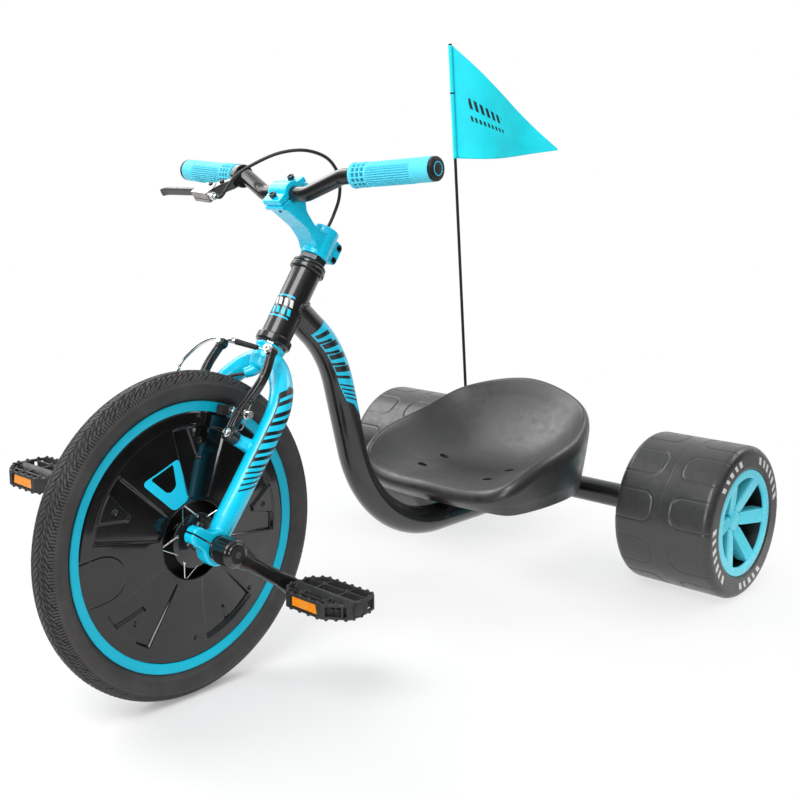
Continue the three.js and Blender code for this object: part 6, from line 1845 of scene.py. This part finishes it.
def add_floor():
    """A pale round floor whose glow, painted light, washes out its real shadow except in patches by the
    wheels, and which runs out to white.
    """
    k = Look("studio_floor")
    k.tree.nodes.remove(k.shader)
    tint = k.mix(k.range(k.noise(2.5, 3), 0.3, 0.7), (0.87, 0.87, 0.87), (0.9, 0.9, 0.9))
    diffuse = k.node("BsdfDiffuse", {"Color": tint})
    glow = k.node("Emission", {"Color": (1.0, 1.0, 1.0), "Strength": 1.0})
    place = k.coords.outputs["Object"]
    kept = None
    for x, y, near, reach, weight in SHADOW_PATCHES:
        spot = (x - FLOOR_CENTRE[0], y - FLOOR_CENTRE[1], 0)
        away = k.node("VectorMath", {0: place, 1: spot}, operation="DISTANCE").outputs["Value"]
        patch = k.range(away, near, reach, weight, 0.1)
        kept = patch if kept is None else k.math("MAXIMUM", kept, patch)
    from_middle = k.node("VectorMath", {0: place}, operation="LENGTH").outputs["Value"]
    edge = k.range(from_middle, 0.7, 1.15, 1.0, 0.0)
    # The share of painted light, a glow over the lit floor: smaller in the shadow patches, so that elsewhere
    # the real shadow is painted out.
    far = k.math("SUBTRACT", 1.0, k.math("MULTIPLY", kept, edge))
    shown = seen_directly(k)
    mixed = k.node("MixShader", {0: k.math("MULTIPLY", shown, far), 1: diffuse.outputs[0],
                                 2: glow.outputs[0]})
    k.tree.links.new(mixed.outputs[0], k.out.inputs["Surface"])
    mesh = bpy.data.meshes.new("floor")
    ring = [(FLOOR_R * math.cos(a), FLOOR_R * math.sin(a), 0) for a in circle(128)]
    mesh.from_pydata(ring, [], [list(range(128))])
    mesh.materials.append(k.material)
    obj = bpy.data.objects.new("floor", mesh)
    obj.location = (*FLOOR_CENTRE, 0)
    scene.collection.objects.link(obj)


def add_world():
    """White for the camera, a white sweep behind and a soft ceiling in reflections, and an even fill."""
    world = bpy.data.worlds.new("studio")
    world.use_nodes = True
    scene.world = world
    k = Look.__new__(Look)
    k.tree = world.node_tree
    k.tree.nodes.clear()
    out = k.node("OutputWorld")
    path = k.node("LightPath").outputs
    split = k.node("SeparateXYZ", {"Vector": k.node("TexCoord").outputs["Generated"]}).outputs
    behind = k.range(k.math("MULTIPLY_ADD", split["X"], -0.68, k.math("MULTIPLY", split["Y"], 0.73)), 0.12,
                     0.6)
    ceiling = k.range(split["Z"], 0.3, 0.75, 0.05, 0.7)
    below = k.range(split["Z"], -0.03, -0.3, 0.0, 0.3)
    seen = k.math("MAXIMUM", behind, k.math("MAXIMUM", ceiling, below))
    white = k.math("MAXIMUM", path["Is Camera Ray"], seen)
    fill = k.range(split["Z"], -0.6, 0.8, 0.3, 0.6)
    shown = seen_directly(k)
    light = k.node("Mix", {0: shown, 2: fill, 3: white}, data_type="FLOAT").outputs[0]
    level = k.node("CombineColor", {0: light, 1: light, 2: light}).outputs[0]
    back = k.node("Background", {"Color": level, "Strength": 1.0})
    k.tree.links.new(back.outputs[0], out.inputs["Surface"])


def add_lamp(name, place, target, size, power):
    data = bpy.data.lights.new(name, "AREA")
    data.shape = "RECTANGLE"
    data.size, data.size_y = size
    data.energy = power
    obj = bpy.data.objects.new(name, data)
    obj.location = place
    obj.rotation_euler = (Vector(target) - Vector(place)).to_track_quat("-Z", "Y").to_euler()
    scene.collection.objects.link(obj)


add_floor()
add_world()
add_lamp("key", (0.7, -2.0, 2.5), (0, -0.1, 0.35), (1.6, 1.3), 46)
add_lamp("front", (0.8, -2.7, 1.0), (0, 0.1, 0.45), (1.5, 0.8), 20)
add_lamp("side", (-2.6, -1.2, 1.9), (0, 0, 0.4), (0.9, 1.8), 18)
add_lamp("seat", (-1.75, 0.1, 1.85), (0.05, 0.35, 0.3), (1.4, 1.1), 18)
add_lamp("rear", (1.4, 2.6, 2.4), (0, 0.2, 0.3), (1.8, 1.2), 22)

scene.view_settings.view_transform = "Standard"
